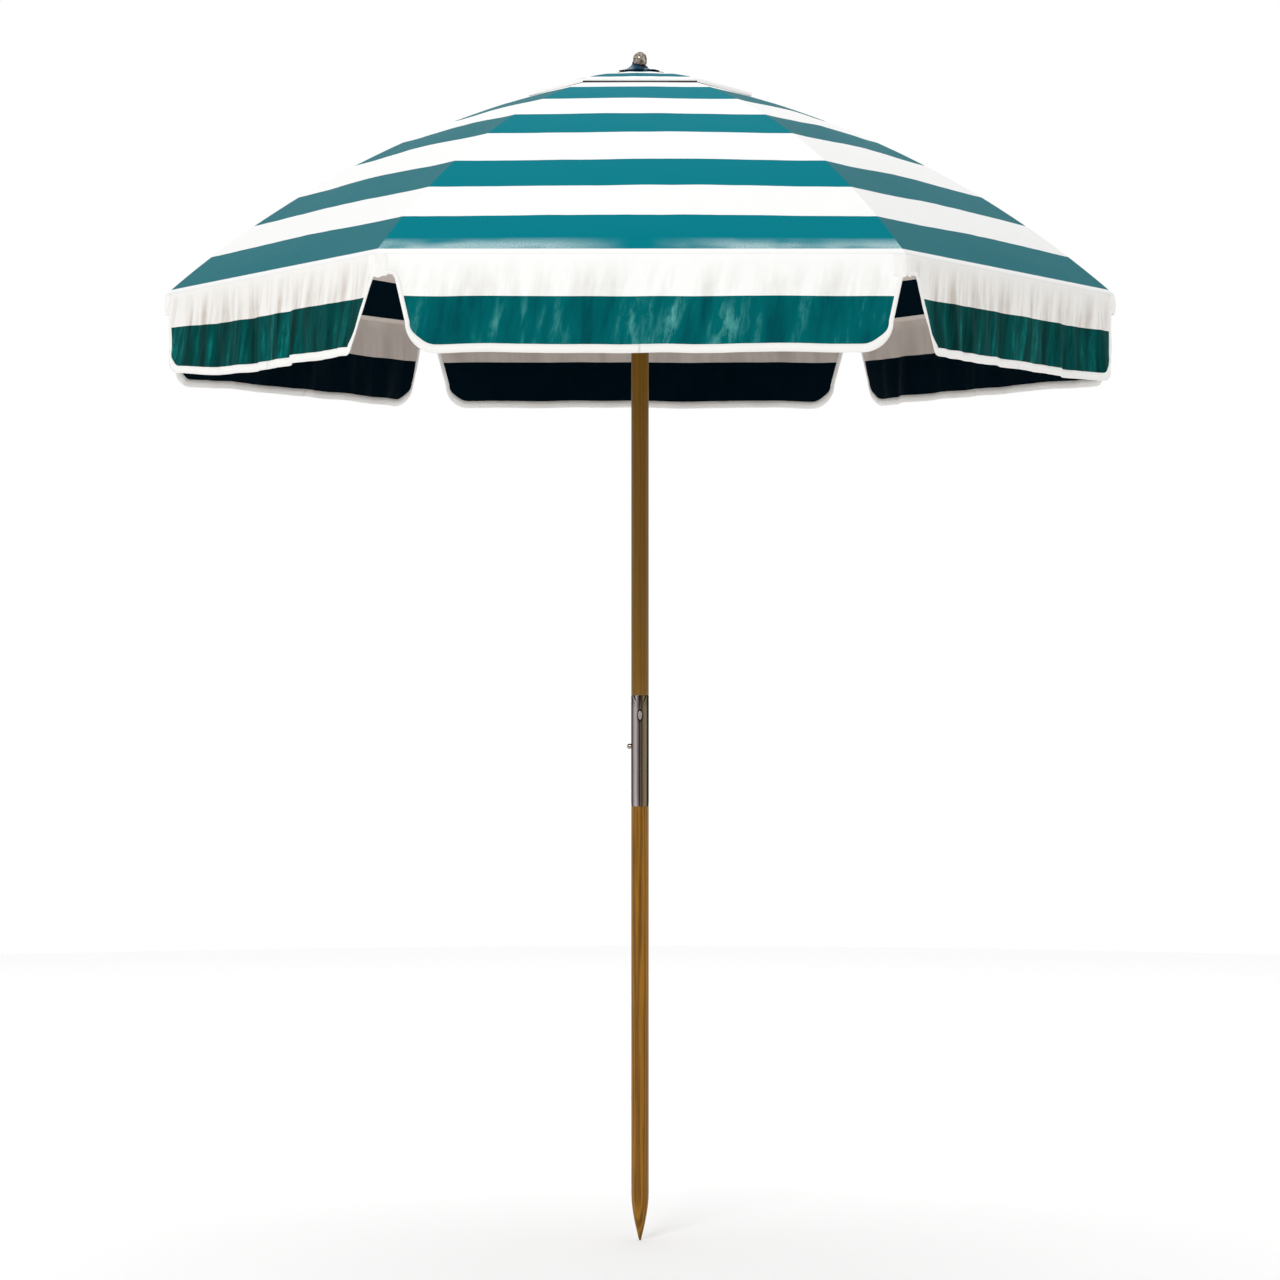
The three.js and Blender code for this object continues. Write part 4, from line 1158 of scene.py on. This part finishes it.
def drill(piece, centre, radius):
    """Cuts a round hole along X through one wall."""
    cutter_mesh = bpy.data.meshes.new("cutter")
    work = bmesh.new()
    along_x = Matrix.Translation(centre) @ Matrix.Rotation(math.pi / 2, 4, "Y")
    bmesh.ops.create_cone(work, cap_ends=True, segments=32, radius1=radius, radius2=radius, depth=DRILL_DEPTH,
                          matrix=along_x)
    work.to_mesh(cutter_mesh)
    work.free()
    cutter = bpy.data.objects.new("cutter", cutter_mesh)
    bpy.context.scene.collection.objects.link(cutter)
    cut = piece.modifiers.new("hole", "BOOLEAN")
    cut.operation = "DIFFERENCE"
    cut.object = cutter
    cut.solver = "EXACT"
    bpy.context.view_layer.update()
    graph = bpy.context.evaluated_depsgraph_get()
    result = bpy.data.meshes.new_from_object(piece.evaluated_get(graph))
    piece.modifiers.remove(cut)
    piece.data = result
    bpy.data.objects.remove(cutter)


def sleeve_rivet():
    """The drop-shaped head of the rivet at the front of the sleeve, and its shank in the wood."""
    sides = 40
    points = []
    for share, out in RIVET_HEAD:
        for angle in turns(sides):
            x = share * RIVET_HALF_W * math.cos(angle) * (1 + 0.18 * math.sin(angle))
            curve = POLE_R - math.sqrt(POLE_R ** 2 - x ** 2)
            points.append((x, -(POLE_R + out * MM - curve), RIVET_Z + share * RIVET_HALF_H * math.sin(angle)))
    for radius, out in RIVET_SHANK:
        for angle in turns(sides):
            x, z, _ = ring_point(radius * MM, angle, 0)
            points.append((x, -(POLE_R + out * MM), RIVET_Z + z))
    rows = len(RIVET_HEAD) + len(RIVET_SHANK)
    piece = new_mesh("sleeve_rivet_head", points, grid_faces(sides, rows, wrap=True))
    weld(piece, 2e-6)
    sharpen(piece, HARD_EDGE)
    finish_hard(piece, "steel", "upper_pole", "sleeve_rivet")


def snap_button():
    base, face = -BUTTON_BOX[1][0], -BUTTON_BOX[0][0]
    radius = (BUTTON_BOX[1][1] - BUTTON_BOX[0][1]) / 2
    profile = [(0, base), (radius, base), (radius, face - BUTTON_DOME_H - 0.2 * MM)]
    for i in range(1, BUTTON_STEPS + 1):
        angle = math.pi / 2 * i / BUTTON_STEPS
        profile.append((radius * math.cos(angle) * 0.98, face - BUTTON_DOME_H * (1 - math.sin(angle))))
    profile.append((0, face))
    piece = lathe("snap_button_nose", profile, 40)
    piece.data.transform(Matrix.Translation((0, 0, BUTTON_Z)) @ Matrix.Rotation(-math.pi / 2, 4, "Y"))
    finish_hard(piece, "chrome", "snap_button", "snap_button")


def finial():
    """A bright metal acorn, and the stud that it screws in by."""
    seat = FINIAL_TOP_Z - ACORN[-1][1] * MM
    profile = [(0, STUD_LOW_Z), (STUD_R, STUD_LOW_Z), (STUD_R, seat)]
    profile += [(radius * MM, seat + height * MM) for radius, height in ACORN]
    finish_hard(lathe("finial_acorn", profile, 48, HARD_EDGE), "chrome", "upper_pole", "finial")


def runner_wire():
    """The wire that the stretchers' feet hang on, in the runner's slots."""
    columns, rows = 8, 72
    points = []
    for angle in turns(rows):
        from_rib = (angle + HALF_SECTOR) % SECTOR - HALF_SECTOR
        radius = PIVOT_R / math.cos(from_rib)
        for turn in turns(columns):
            height = RUNNER_PIVOT_Z + WIRE_R * math.sin(turn)
            points.append(ring_point(radius + WIRE_R * math.cos(turn), angle, height))
    faces = grid_faces(columns, rows, wrap=True)
    last = (rows - 1) * columns
    faces += [(last + c, last + (c + 1) % columns, (c + 1) % columns, c) for c in range(columns)]
    piece = new_mesh("runner_hinge_wire", points, faces)
    recalculate(piece)
    paint(piece, HARD["rod_steel"])
    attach(piece, "runner")


def paint_cad_nodes():
    """The CAD nodes that stay get their slot's material."""
    slots = {row["node"]: row["material_slot"] for row in frame["record"]["subparts"]}
    for name, node in frame["nodes"].items():
        if slots[name] in HARD:
            for slot in node.material_slots:
                slot.material = HARD[slots[name]]
            if not node.material_slots:
                node.data.materials.append(HARD[slots[name]])


# ---- floor, light and camera
FLOOR_SIDES = 96
FLOOR_R = 8.0
CAMERA_LENS = 107.9
CAMERA_PLACE = (0.0, -8.343, 1.305)


def stage():
    rim = [ring_point(FLOOR_R, angle, 0) for angle in turns(FLOOR_SIDES)]
    floor = new_mesh("floor", rim, [tuple(range(FLOOR_SIDES))], smooth=False)
    paint(floor, floor_paint())


def area_light(name, place, target, size, power, tint=(1, 1, 1)):
    data = bpy.data.lights.new(name, "AREA")
    data.shape = "RECTANGLE"
    data.size, data.size_y = size
    data.energy = power
    data.color = tint
    light = bpy.data.objects.new(name, data)
    light.location = place
    light.rotation_euler = (Vector(target) - Vector(place)).to_track_quat("-Z", "Y").to_euler()
    bpy.context.scene.collection.objects.link(light)


def lights():
    """White all round, and dimmer where the front faces, so that round and shiny pieces show their shape."""
    world = bpy.data.worlds.new("studio")
    world.use_nodes = True
    tree = world.node_tree
    place = tree.nodes.new("ShaderNodeTexCoord")
    parts = tree.nodes.new("ShaderNodeSeparateXYZ")
    reach = tree.nodes.new("ShaderNodeMapRange")
    reach.interpolation_type = "SMOOTHSTEP"
    for key, value in {"From Min": -0.8, "From Max": 0.1, "To Min": 0.6, "To Max": 1.0}.items():
        reach.inputs[key].default_value = value
    tree.links.new(place.outputs["Generated"], parts.inputs[0])
    tree.links.new(parts.outputs[1], reach.inputs[0])
    tree.links.new(reach.outputs[0], tree.nodes["Background"].inputs["Strength"])
    tree.nodes["Background"].inputs["Color"].default_value = (1.0, 1.0, 1.0, 1.0)
    bpy.context.scene.world = world
    area_light("key", (-2.2, -6.4, 6.0), (0, 0, 1.9), (2.4, 1.4), 165)
    area_light("floor_wash", (0.0, 3.2, 6.5), (0, 1.6, 0), (9.0, 6.0), 120)


def camera():
    data = bpy.data.cameras.new("camera")
    data.sensor_width = 36
    data.lens = CAMERA_LENS
    data.clip_end = 200
    view = bpy.data.objects.new("camera", data)
    view.location = CAMERA_PLACE
    view.rotation_euler = (math.pi / 2, 0, 0)
    bpy.context.scene.collection.objects.link(view)
    bpy.context.scene.camera = view
    bpy.context.scene.view_settings.view_transform = "Standard"


camera()
stage()
lights()
paint_cad_nodes()
build_cloth()
for rib_number in range(1, RIB_COUNT + 1):
    corner_pocket(rib_number)
    throat(rib_number)
apex_cone()
lower_pole()
upper_pole()
sleeve()
sleeve_rivet()
snap_button()
finial()
runner_wire()
